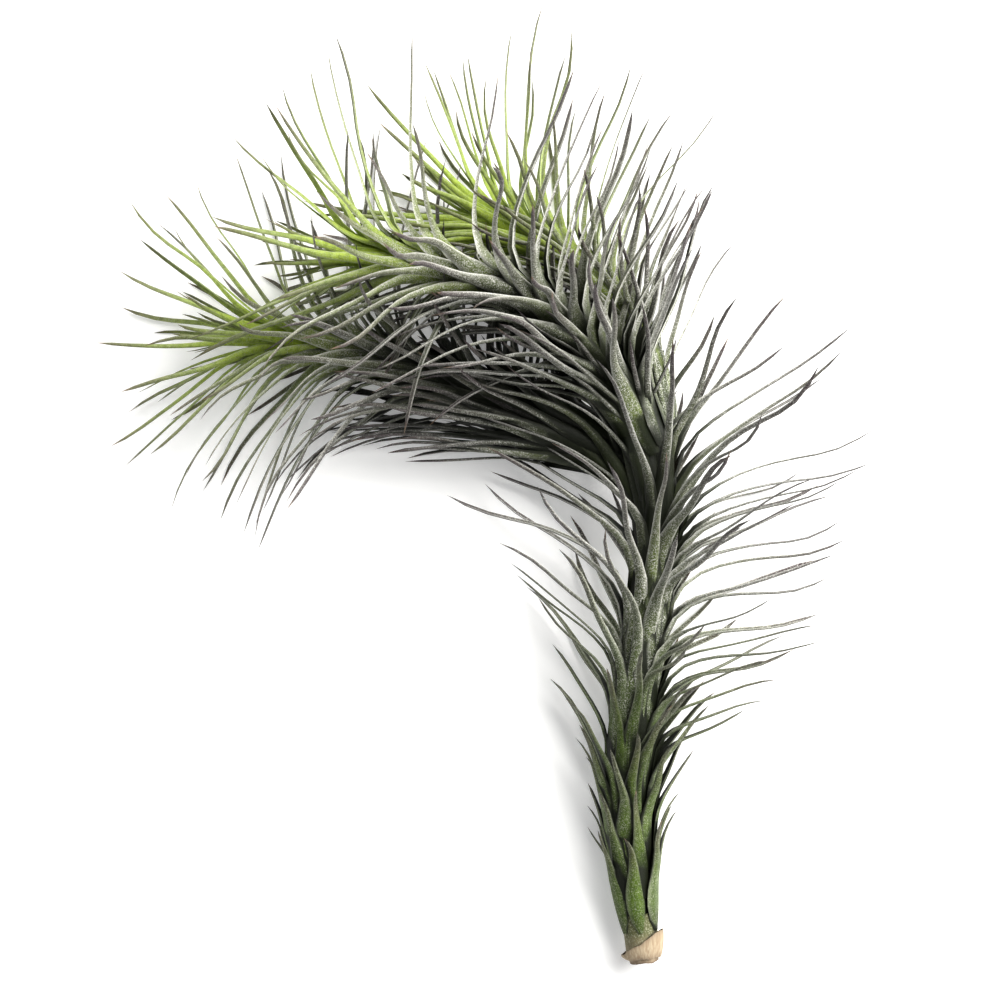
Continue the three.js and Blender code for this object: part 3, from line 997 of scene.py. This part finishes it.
# ---- sub-assemblies ----
@dataclass
class Shoot:
    """A leafy shoot: its whorls in order from the oldest, with the habit of its leaves.

    Lists of pairs are (share of the shoot, value).
    """

    name: str
    whorls: int
    ages: tuple[tuple[float, LeafAge], ...]  # the finish up to each share
    tone: Pairs  # how far a leaf is to the next finish
    hold: Pairs  # the most of a leaf's length that lies along the shoot, in mm
    girth: Pairs
    broad: Pairs  # 1 for the short, broad leaves of the old stem, 0 for the long ones
    base_radius: Pairs  # of the leaf bases round the shoot's line, in mm
    between: Pairs  # how many more leaves stand between two whorls, above each leaf
    recurve: Pairs  # how far a leaf's tip is bent towards its back, in mm
    seed: int
    slim: Pairs = NONE  # how much of its width a leaf's base lacks
    gloom: Pairs = NONE  # painted shade added to the stored shade, for leaves that other shoots shade
    hollow: Pairs = ((0.0, 3.0), (0.75, 2.4), (1.0, 1.0))  # how far its middle is drawn in, in mm
    release: Pairs = ((0.0, 2.8), (1.0, 2.8))  # how much further up than hold it is free
    longer: Pairs = ONCE  # how many times its packed leaf's length a leaf has
    first_root: float = 1.0  # how much longer the first whorl's leaves are below their ring
    most_held: float = 0.40  # the most of a leaf that lies along the shoot
    most_bound: float = 0.9  # the most of it that isn't quite free
    rise: float = 0.12  # how much a held leaf rises from the shoot with its length
    clasp: float = 0.95
    route_points: int = 17
    bend_points: int = 12
    followed_by: tuple["Shoot", ...] = ()  # the shoots that it forks into
    cages: list[list[LeafCage]] = field(default_factory=list)
    centres: list[Array] = field(default_factory=list)
    pieces: list[bpy.types.Object] = field(default_factory=list)
    axis: ShootAxis | None = None

    def node(self, i: int) -> str:
        """The CAD node of a whorl."""
        return f"{self.name}_whorl_{i + 1:02d}"

    def trace(self) -> None:
        """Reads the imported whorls."""
        for i in range(self.whorls):
            cages, centre = Tracer(self.node(i)).read()
            self.cages.append(cages)
            self.centres.append(centre)

    def build(self, blanks: Blanks, length: float, materials: dict[LeafAge, bpy.types.Material]) -> None:
        """Grows every whorl's leaves.

        Args:
            blanks: The long leaf and the short, broad one.
            length: The length of both.
            materials: The material of each finish.
        """
        chance = random.Random(self.seed)
        for i in range(self.whorls):
            share = i / (self.whorls - 1)
            lines = own = self.routes(i)
            if i + 1 < self.whorls:
                above = [self.routes(i + 1)]
            else:
                above = [shoot.routes(0) for shoot in self.followed_by]
            for following in above:
                lines = lines + self._between(own, following, profile(self.between, share), chance)
            leaves = [self._leaf(blanks, length, line, keels, share, chance) for line, keels in lines]
            for k, leaf in enumerate(leaves):
                lay_out(leaf, k, len(leaves))
            piece = joined(f"{self.name}_leaves_{i + 1:02d}", leaves)
            age = next(age for limit, age in self.ages if share <= limit)
            hand_over(piece, materials[age], self.node(i))
            self.pieces.append(piece)

    def routes(self, i: int) -> list[Route]:
        """The lines of whorl i's leaves."""
        return [self._route(cage, i / (self.whorls - 1)) for cage in self.cages[i]]

    def _route(self, cage: LeafCage, share: float) -> Route:
        """The line of a packed leaf, drawn in so that its lower part lies along the shoot.

        Args:
            cage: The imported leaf.
            share: Where on the shoot its whorl stands.

        Returns:
            Points of the line, and the direction of the leaf's back at each.
        """
        line = Spline(np.vstack([cage.middles, cage.tip]))
        at = np.linspace(0, line.reach * profile(self.longer, share), self.route_points)
        places = line.at(at)
        keels = np.vstack([cage.keels, cage.keels[-1]])
        keels = np.stack([np.interp(at, line.knots, keels[:, k]) for k in range(3)], axis=-1)
        feet, out = self.axis.foot(places)
        far = np.linalg.norm(places - feet, axis=1)
        held = min(profile(self.hold, share) * MM, self.most_held * line.reach)
        loose = min(profile(self.release, share) * held, self.most_bound * line.reach)
        hug = profile(self.base_radius, share) * MM + self.rise * at
        give = smoothstep(at, 0.5 * held, loose)
        places = feet + out * np.maximum(hug, hug * (1 - give) + far * give)[:, None]
        return places, unit(keels * give[:, None] + out * (1 - give)[:, None])

    @staticmethod
    def _between(
        own: list[Route], following: list[Route], share: float, chance: random.Random
    ) -> list[Route]:
        """Lines of leaves that stand between two whorls, each between two leaves' lines.

        Args:
            own: The lines of the lower whorl.
            following: Those of the upper whorl.
            share: How many stand above each leaf of the lower whorl, on average.
            chance: The shoot's chance.

        Returns:
            Their lines.
        """
        made = []
        for places, keels in own:
            near = min(following, key=lambda other: float(np.linalg.norm(other[0][0] - places[0])))
            count = int(share) + (chance.random() < share % 1)
            for k in range(count):
                u = (k + chance.uniform(0.76, 1.24)) / (count + 1)
                made.append((places * (1 - u) + near[0] * u, unit(keels * (1 - u) + near[1] * u)))
        return made

    def _leaf(
        self, blanks: Blanks, length: float, places: Array, keels: Array, share: float, chance: random.Random
    ) -> bpy.types.Object:
        """Copies the blank and bends it onto a line.

        Args:
            blanks: The long leaf and the short, broad one.
            length: The length of both.
            places: Points of the line.
            keels: The direction of the leaf's back at each.
            share: Where on the shoot the leaf stands.
            chance: The shoot's chance.

        Returns:
            The leaf.
        """
        full = Spline(places)
        line = Spline(full.at(np.linspace(0, full.reach, self.bend_points)))
        keels = np.stack([np.interp(line.knots, full.knots, keels[:, k]) for k in range(3)], axis=-1)
        across = unit(np.cross(line.heading(line.knots), keels))
        loose = line.reach / length
        recurve = profile(self.recurve, share)
        bend = Bend(
            line=line,
            across=across,
            girth=profile(self.girth, share) * chance.uniform(0.9, 1.08),
            clasp=self.clasp,
            channel=chance.uniform(0.75, 1.05),
            tilt=math.radians(chance.uniform(6, 14)),
            crook=(
                chance.uniform(-3.0, 3.0) * MM * loose,
                (recurve + chance.uniform(-2.6, 2.6)) * MM * loose,
            ),
            sway=(
                chance.uniform(-1.4, 1.4) * MM * loose,
                chance.uniform(-0.6, 2.0) * MM * loose,
            ),
            hollow=(profile(self.hollow, share) + chance.uniform(-0.5, 0.5)) * MM * loose,
            twist=chance.uniform(-0.6, 0.6),
            root=self.first_root if share == 0 else 1.0,
        )
        broad = profile(self.broad, share)
        flat = points_of(blanks[0]) * (1 - broad) + points_of(blanks[1]) * broad
        flat[:, 0] *= 1 - profile(self.slim, share) * (1 - smoothstep(flat[:, 1] / length, 0.22, 0.5))
        tone = profile(self.tone, share) + chance.uniform(-0.12, 0.12)
        leaf = grown(blanks[0], bend.apply(flat, length), chance.random(), tone)
        # painted shade added on top of the stored shade
        set_number(leaf, "gloom", profile(self.gloom, share))
        return leaf


@dataclass
class Bud:
    """A shoot's terminal bud: a tight bundle of its youngest leaves."""

    shoot: Shoot
    leaves: int = 16
    turn: float = 2.4  # the angle from one leaf to the next
    sunk: float = 3.0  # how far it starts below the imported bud, in mm
    seed: int = 5

    def build(self, blank: bpy.types.Object, length: float, material: bpy.types.Material) -> None:
        """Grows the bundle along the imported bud.

        Args:
            blank: The long leaf.
            length: Its length.
            material: What it is made of.
        """
        node = f"{self.shoot.name}_bud"
        points = np.array([v.co[:] for v in frame["nodes"][node].data.vertices])
        spans = np.linalg.norm(points - self.shoot.centres[-1], axis=1)
        base, tip = points[spans.argmin()], points[spans.argmax()]
        axis = unit(tip - base)
        base = base - axis * self.sunk * MM
        side = unit(np.cross(axis, (0.0, 0.0, 1.0)))
        up = np.cross(side, axis)
        full = np.linalg.norm(tip - base)
        chance = random.Random(self.seed)
        made = []
        for k in range(self.leaves):
            angle = k * self.turn + chance.uniform(-0.2, 0.2)
            out = side * math.cos(angle) + up * math.sin(angle)
            depth = k / self.leaves
            reach = (1.15 - 0.35 * depth) * full * chance.uniform(0.9, 1.1)
            spread = (1.0 - depth) * 0.5 + 0.04
            shares = np.linspace(0, 1, 6)
            radius = 1.5 * MM * (1 - depth) * np.minimum(shares * 6 + 0.3, 1) + reach * spread * shares**1.9
            line = Spline(base + axis * (reach * shares)[:, None] + out * radius[:, None])
            headings = line.heading(line.knots)
            across = unit(np.cross(headings, np.broadcast_to(out, headings.shape)))
            bend = Bend(
                line=line,
                across=across,
                girth=0.72 - 0.2 * depth,
                clasp=1.0,
                channel=0.9,
                tilt=0.1,
                crook=(chance.uniform(-2, 2) * MM, chance.uniform(-2, 2) * MM),
                sway=(chance.uniform(-0.5, 0.5) * MM, chance.uniform(-0.5, 0.5) * MM),
                hollow=chance.uniform(-0.4, 1.2) * MM,
                twist=chance.uniform(-0.6, 0.6),
            )
            leaf = grown(blank, bend.apply(points_of(blank), length), chance.random(), 1.0)
            lay_out(leaf, k, self.leaves)
            made.append(leaf)
        piece = joined(f"{self.shoot.name}_bud_leaves", made)
        hand_over(piece, material, node)
        self.shoot.pieces.append(piece)


@dataclass
class Stem:
    """The woody stem and its forks, which show only at the cut end and deep between the leaves."""

    bark_depth: float = 0.25 * MM
    bark_grain: float = 0.0012  # how coarse its relief is, in metres
    sharp: float = 60.0  # degrees, over which an edge shows

    def build(self, material: bpy.types.Material) -> bpy.types.Object:
        """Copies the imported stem, rounds it and roughens its bark.

        Args:
            material: What it is made of.

        Returns:
            The stem.
        """
        deselect_all()
        stem = frame["nodes"]["stem"].copy()
        stem.data = frame["nodes"]["stem"].data.copy()
        stem.parent = None
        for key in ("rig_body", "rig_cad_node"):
            if key in stem:
                del stem[key]
        bpy.context.scene.collection.objects.link(stem)
        pick(stem)
        stem.name = "woody_stem"
        bpy.ops.object.mode_set(mode="EDIT")
        bpy.ops.mesh.select_all(action="SELECT")
        bpy.ops.mesh.remove_doubles(threshold=1e-6)
        bpy.ops.mesh.subdivide(number_cuts=2, smoothness=0.4)
        bpy.ops.object.mode_set(mode="OBJECT")
        bark = bpy.data.textures.new("bark", "CLOUDS")
        bark.noise_scale = self.bark_grain
        knobbly = stem.modifiers.new("bark", "DISPLACE")
        knobbly.texture = bark
        knobbly.strength = self.bark_depth
        bpy.ops.object.modifier_apply(modifier="bark")
        bpy.ops.object.shade_smooth_by_angle(angle=math.radians(self.sharp))
        hand_over(stem, material, "stem")
        return stem


@dataclass(frozen=True)
class Bract:
    """A dried leaf base wrapped round the stem, as a tube with a torn rim.

    Heights are along the stem from its cut end in mm, and angles from its upper side to its right.
    """

    radius: tuple[float, float]  # at its foot and at its rim, in mm
    foot: float
    rim: float
    notch: tuple[float, float, float]  # angle, half width and depth of the gap in its rim
    slant: tuple[float, float]  # how far the rim rises to one side, and which
    green: tuple[float, float]  # how green it is still, at its foot and at its rim
    brown: float  # how brown its rim is
    ragged: float  # how far its rim is torn, in mm
    thickness: float
    seed: int


@dataclass
class DryCollar:
    """The dry collar round the cut end, with what is left of the oldest leaves."""

    start: Array
    axis: Array
    sides: int = 72
    rows: int = 10
    sharp: float = 50.0  # degrees, over which an edge shows
    bracts: tuple[Bract, ...] = (
        Bract(
            radius=(3.4, 3.45), foot=-0.6, rim=8.0, notch=(0.12, 0.8, 0.9), slant=(0.5, 1.4),
            green=(0.45, 1.5), brown=0.10, ragged=0.3, thickness=0.30, seed=3,
        ),
        Bract(
            radius=(3.55, 4.55), foot=-1.6, rim=1.9, notch=(-1.2, 0.9, 1.1), slant=(1.8, 1.25),
            green=(0.0, 0.10), brown=0.45, ragged=0.6, thickness=0.30, seed=5,
        ),
        Bract(
            radius=(2.9, 3.2), foot=-2.5, rim=1.6, notch=(0.9, 0.7, 0.6), slant=(0.2, 0.4),
            green=(0.0, 0.0), brown=0.9, ragged=0.45, thickness=0.30, seed=8,
        ),
        Bract(
            radius=(2.05, 2.3), foot=-2.3, rim=1.6, notch=(-1.2, 0.6, 0.5), slant=(0.2, -0.6),
            green=(0.0, 0.0), brown=0.7, ragged=0.45, thickness=0.26, seed=11,
        ),
    )

    def build(self, material: bpy.types.Material) -> bpy.types.Object:
        """Wraps the bracts round the stem and joins them.

        Args:
            material: What they are made of.

        Returns:
            The collar.
        """
        piece = joined("dried_collar", [self._wrap(bract) for bract in self.bracts])
        hand_over(piece, material, "dry_collar")
        return piece

    def _wrap(self, bract: Bract) -> bpy.types.Object:
        """Models one bract: an open tube of rows, moved into shape, then thickened.

        Args:
            bract: The bract.

        Returns:
            Its object.
        """
        deselect_all()
        bpy.ops.mesh.primitive_cylinder_add(
            vertices=self.sides, radius=1.0, depth=1.0, end_fill_type="NOTHING", location=(0, 0, 0.5)
        )
        tube = bpy.context.object
        bpy.ops.object.transform_apply(location=True, rotation=True, scale=True)
        bpy.ops.object.mode_set(mode="EDIT")
        for k in range(1, self.rows):
            bpy.ops.mesh.select_all(action="SELECT")
            bpy.ops.mesh.bisect(plane_co=(0, 0, k / self.rows), plane_no=(0, 0, 1))
        bpy.ops.object.mode_set(mode="OBJECT")
        points = points_of(tube)
        angle, up = np.arctan2(points[:, 0], points[:, 1]), points[:, 2]
        set_points(tube, self._shape(bract, angle, up))
        set_number(tube, "green", bract.green[0] + (bract.green[1] - bract.green[0]) * up)
        set_number(tube, "edge", bract.brown * np.abs(2 * up - 1) ** 3)
        bpy.ops.object.mode_set(mode="EDIT")
        bpy.ops.mesh.select_all(action="SELECT")
        bpy.ops.mesh.normals_make_consistent(inside=False)
        bpy.ops.object.mode_set(mode="OBJECT")
        wall = tube.modifiers.new("wall", "SOLIDIFY")
        wall.thickness = bract.thickness * MM
        wall.offset = -1.0
        wall.use_even_offset = True
        bpy.ops.object.modifier_apply(modifier="wall")
        bpy.ops.object.shade_smooth_by_angle(angle=math.radians(self.sharp))
        return tube

    def _shape(self, bract: Bract, angle: Array, up: Array) -> Array:
        """Where the points of a straight tube go on a bract.

        Args:
            bract: The bract.
            angle: Each point's angle round the stem.
            up: Each point's share of the bract's height.

        Returns:
            The places.
        """
        chance = random.Random(bract.seed)
        waves = [(n, chance.uniform(0, 6.3), chance.uniform(0.5, 1.6) / n**0.6) for n in (2, 3, 5, 8, 13, 21)]
        tear = sum(a * np.sin(n * angle + p) for n, p, a in waves) / 3
        turn = (angle - bract.notch[0] + math.pi) % (2 * math.pi) - math.pi
        rim = bract.rim + bract.ragged * tear + bract.slant[0] * np.cos(angle - bract.slant[1])
        rim -= bract.notch[2] * np.exp(-((turn / bract.notch[1]) ** 2))
        frayed = sum(a * np.sin((n + 2) * angle + 2 * p) for n, p, a in waves) / 3
        foot = bract.foot + 0.5 * bract.ragged * frayed
        height = foot + (rim - foot) * up
        radius = bract.radius[0] + (bract.radius[1] - bract.radius[0]) * np.sin(up * math.pi / 2) ** 0.8
        radius = radius + 0.07 * np.sin(3 * angle + waves[0][1]) + 0.05 * tear * up
        side = unit(np.cross(self.axis, (0.0, 0.0, 1.0)))
        above = np.cross(side, self.axis)
        out = side * np.sin(angle)[:, None] + above * np.cos(angle)[:, None]
        places = self.start + self.axis * (height * MM)[:, None] + out * (radius * MM)[:, None]
        places[:, 2] = np.maximum(places[:, 2], SURFACE_CLEARANCE)
        return places


@dataclass
class DeepShade:
    """Stores at each point how much of what is round it is plant.

    The materials read this number to paint shade deep between the leaves.
    """

    reach: float = 26 * MM
    rays: int = 36
    lift: float = 0.12  # how far off the surface it starts to look, in mm
    grazing: float = 0.08  # it doesn't look along directions closer to the surface than this
    fading: float = 0.7  # how much less a leaf hides at the end of the reach

    def store(self, pieces: list[bpy.types.Object]) -> None:
        """Looks out from every point of the pieces.

        Args:
            pieces: The plant's pieces.
        """
        places, faces, start = [], [], 0
        for piece in pieces:
            points = points_of(piece)
            places.extend(points.tolist())
            faces.extend([start + v for v in face.vertices] for face in piece.data.polygons)
            start += len(points)
        tree = BVHTree.FromPolygons(places, faces)
        turn = math.pi * (3 - math.sqrt(5))
        ways = []
        for k in range(self.rays):
            z = 1 - (2 * k + 1) / self.rays
            r = math.sqrt(1 - z * z)
            ways.append(Vector((r * math.cos(k * turn), r * math.sin(k * turn), z)))
        for piece in pieces:
            shades = []
            for vertex in piece.data.vertices:
                normal = vertex.normal
                start_at = vertex.co + normal * self.lift * MM
                total = hidden = 0.0
                for way in ways:
                    weight = way.dot(normal)
                    if weight <= self.grazing:
                        continue
                    total += weight
                    distance = tree.ray_cast(start_at, way, self.reach)[3]
                    if distance is not None:
                        hidden += weight * (1 - self.fading * distance / self.reach)
                shades.append(hidden / total if total else 0.0)
            set_number(piece, "shade", np.array(shades))


# ---- the studio ----
@dataclass
class Studio:
    """The pale floor, the soft lights and the camera straight above."""

    middle: Vector  # the middle of the picture, on the level of the main stem
    picture: float = 200 * MM  # how much of that level the picture is wide
    lens: float = 240.0
    sensor: float = 36.0
    floor_size: float = 12.0
    key_power: float = 99.0
    key_size: float = 1.7
    key_place: Vector = field(default_factory=lambda: Vector((1.02, 0.80, 0.98)))
    key_colour: Colour = (1.0, 0.985, 0.96)
    sky: Colour = (0.98, 0.99, 1.0)
    sky_power: float = 0.46

    def build(self, floor_material: bpy.types.Material) -> None:
        """Sets the scene up.

        Args:
            floor_material: What the floor is made of.
        """
        self._floor(floor_material)
        self._lights()
        self._camera()
        view = bpy.context.scene.view_settings
        view.view_transform = "Standard"
        view.look = "None"

    def _floor(self, material: bpy.types.Material) -> None:
        """Lays the floor.

        Args:
            material: What it is made of.
        """
        deselect_all()
        bpy.ops.mesh.primitive_plane_add(size=self.floor_size, location=(0, 0, 0))
        floor = bpy.context.object
        floor.name = "floor"
        floor.data.materials.append(material)

    def _lights(self) -> None:
        """Hangs the key light, and lights the room evenly."""
        data = bpy.data.lights.new("key_light", "AREA")
        data.energy = self.key_power
        data.size = self.key_size
        data.color = self.key_colour
        key = bpy.data.objects.new("key_light", data)
        key.location = self.middle + self.key_place
        key.rotation_euler = (-self.key_place).to_track_quat("-Z", "Y").to_euler()
        bpy.context.scene.collection.objects.link(key)
        world = bpy.data.worlds.new("soft_room")
        world.use_nodes = True
        background = world.node_tree.nodes["Background"]
        background.inputs["Color"].default_value = (*self.sky, 1.0)
        background.inputs["Strength"].default_value = self.sky_power
        bpy.context.scene.world = world

    def _camera(self) -> None:
        """Looks straight down on the plant, with its cut end towards the bottom of the picture."""
        data = bpy.data.cameras.new("camera")
        data.lens = self.lens
        data.sensor_width = self.sensor
        data.clip_start, data.clip_end = 0.01, 50.0
        camera = bpy.data.objects.new("camera", data)
        camera.location = self.middle + Vector((0, 0, self.picture * self.lens / self.sensor))
        bpy.context.scene.collection.objects.link(camera)
        bpy.context.scene.camera = camera


# ---- the plant ----
LONG_OUTLINE = (
    (-0.05, 1.0), (-0.015, 1.9), (0.0, 2.1), (0.05, 2.4), (0.10, 2.42), (0.16, 2.25), (0.24, 1.9),
    (0.33, 1.42), (0.43, 0.98), (0.54, 0.80), (0.65, 0.71), (0.76, 0.64), (0.89, 0.53), (0.96, 0.40),
    (1.0, 0.06),
)
SHORT_OUTLINE = (
    (-0.05, 0.4), (-0.015, 1.85), (0.0, 2.2), (0.05, 2.4), (0.10, 2.45), (0.16, 2.5), (0.24, 2.42),
    (0.33, 2.15), (0.43, 1.75), (0.54, 1.3), (0.65, 0.98), (0.76, 0.74), (0.89, 0.48), (0.96, 0.32),
    (1.0, 0.06),
)
BRANCH_AGES = ((0.78, LeafAge.SILVER), (1.0, LeafAge.YOUNG))
SHOOTS = (
    Shoot(
        name="main",
        whorls=15,
        ages=((0.62, LeafAge.OLD), (1.0, LeafAge.SILVER)),
        tone=((0.0, 0.0), (0.3, 0.14), (0.45, 0.45), (0.62, 1.0), (0.63, 0.0), (1.0, 0.0)),
        hold=((0.0, 14.0), (0.7, 13.0), (1.0, 12.0)),
        recurve=((0.0, 6.0), (0.3, 3.0), (0.5, -2.0), (1.0, -5.0)),
        hollow=((0.0, 0.5), (0.4, 1.5), (0.7, 3.0), (1.0, 3.0)),
        longer=((0.0, 1.35), (0.15, 1.35), (0.3, 1.12), (0.45, 1.0), (1.0, 1.0)),
        release=((0.0, 2.8), (0.5, 2.5), (0.8, 2.0), (1.0, 2.0)),
        girth=((0.0, 1.0), (0.3, 1.05), (0.78, 0.95), (1.0, 0.85)),
        broad=((0.0, 1.0), (0.15, 0.8), (0.35, 0.0), (1.0, 0.0)),
        base_radius=((0.0, 4.1), (0.3, 4.4), (0.85, 4.3), (1.0, 3.9)),
        between=((0.0, 0.5), (0.25, 0.25), (0.5, 0.2), (0.93, 0.6), (1.0, 2.6)),
        slim=((0.0, 0.0), (0.8, 0.0), (1.0, 0.1)),
        gloom=((0.0, 0.0), (0.60, 0.0), (0.68, 0.08), (0.76, 0.42), (0.86, 0.62), (1.0, 0.74)),
        first_root=1.6,
        seed=11,
    ),
    Shoot(
        name="front",
        whorls=13,
        ages=BRANCH_AGES,
        tone=((0.0, 0.0), (0.5, 0.05), (0.78, 0.45), (0.9, 0.9), (1.0, 1.0)),
        hold=((0.0, 6.0), (0.4, 9.0), (1.0, 10.0)),
        recurve=((0.0, 5.5), (0.7, 5.0), (1.0, 1.0)),
        girth=((0.0, 1.12), (0.5, 1.15), (1.0, 0.86)),
        broad=NONE,
        base_radius=((0.0, 4.3), (0.3, 3.6), (0.6, 3.2), (1.0, 1.9)),
        between=((0.0, 1.2), (0.15, 0.5), (0.5, 0.35), (1.0, 0.6)),
        hollow=((0.0, -0.8), (0.15, 0.5), (0.35, 3.0), (0.75, 2.4), (1.0, 1.0)),
        slim=((0.0, -0.2), (0.15, -0.3), (0.6, -0.2), (1.0, 0.0)),
        gloom=((0.0, 0.45), (0.2, 0.24), (0.5, 0.04), (0.7, 0.0), (1.0, 0.0)),
        seed=23,
    ),
    Shoot(
        name="low",
        whorls=13,
        ages=BRANCH_AGES,
        tone=((0.0, 0.0), (0.5, 0.0), (0.78, 0.4), (0.9, 0.85), (1.0, 1.0)),
        hold=((0.0, 7.0), (0.4, 10.0), (1.0, 11.0)),
        recurve=((0.0, 7.0), (0.5, 7.0), (0.8, 4.0), (1.0, 1.5)),
        girth=((0.0, 1.0), (1.0, 0.82)),
        broad=NONE,
        base_radius=((0.0, 5.4), (0.2, 5.2), (0.6, 3.3), (1.0, 1.9)),
        hollow=((0.0, -0.8), (0.2, 0.0), (0.4, 2.5), (0.75, 2.4), (1.0, 1.0)),
        between=((0.0, 1.3), (0.3, 0.8), (0.5, 0.4), (1.0, 0.4)),
        gloom=((0.0, 0.86), (0.35, 0.66), (0.6, 0.18), (0.8, 0.0), (1.0, 0.0)),
        seed=37,
    ),
    Shoot(
        name="back",
        whorls=11,
        ages=BRANCH_AGES,
        tone=((0.0, 0.0), (0.3, 0.2), (0.6, 0.68), (0.85, 1.0), (1.0, 1.0)),
        hold=((0.0, 7.0), (0.5, 9.0), (1.0, 10.0)),
        recurve=((0.0, 2.0), (0.3, 4.5), (0.7, 4.5), (1.0, 1.0)),
        girth=((0.0, 0.8), (1.0, 0.82)),
        broad=NONE,
        base_radius=((0.0, 2.2), (0.6, 2.8), (1.0, 1.9)),
        between=((0.0, 0.3), (0.4, 0.5), (1.0, 0.6)),
        slim=((0.0, 0.62), (0.3, 0.4), (0.6, 0.0), (1.0, 0.0)),
        seed=41,
    ),
)
PICTURE_FROM_CUT_END = Vector((-28.8 * MM, 90.6 * MM, 10.0 * MM))  # from the cut end to the picture's middle
CUT_END_DEPTH = 0.6 * MM  # the stem's points within this of its end are its cut face
RUN_ON = 5  # how many of the front shoot's whorls the main shoot's line runs on through


def main() -> None:
    """Builds the plant's pieces in order, then the studio around them."""
    logging.basicConfig(level=logging.INFO, format="%(message)s")
    long_blank = LeafBlank("long_leaf", LONG_OUTLINE)
    blanks = (long_blank.model(), LeafBlank("short_leaf", SHORT_OUTLINE).model())
    materials = {age: age.value.material() for age in LeafAge}

    stem_points = np.array([v.co[:] for v in frame["nodes"]["stem"].data.vertices])
    cut_end = stem_points[stem_points[:, 1] < stem_points[:, 1].min() + CUT_END_DEPTH].mean(0)
    for shoot in SHOOTS:
        shoot.trace()
    main_shoot, front, low = SHOOTS[:3]
    main_shoot.axis = ShootAxis(np.array([cut_end, *main_shoot.centres, *front.centres[:RUN_ON]]))
    for shoot in SHOOTS[1:]:
        shoot.axis = ShootAxis(np.array(shoot.centres))
    main_shoot.followed_by = (front, low)
    for shoot in SHOOTS:
        shoot.build(blanks, long_blank.length, materials)
    for shoot in SHOOTS[1:]:
        Bud(shoot).build(blanks[0], long_blank.length, materials[LeafAge.YOUNG])
    for blank in blanks:
        bpy.data.objects.remove(blank)

    stem = Stem().build(BarkFinish().material())
    collar = DryCollar(cut_end, unit(main_shoot.centres[1] - cut_end)).build(SheathFinish().material())
    # painted shade: each point's share of surrounding plant, which the leaf and sheath materials darken by
    DeepShade().store([piece for shoot in SHOOTS for piece in shoot.pieces] + [stem, collar])
    Studio(Vector(cut_end) + PICTURE_FROM_CUT_END).build(FloorFinish().material())


if __name__ == "__main__":
    main()
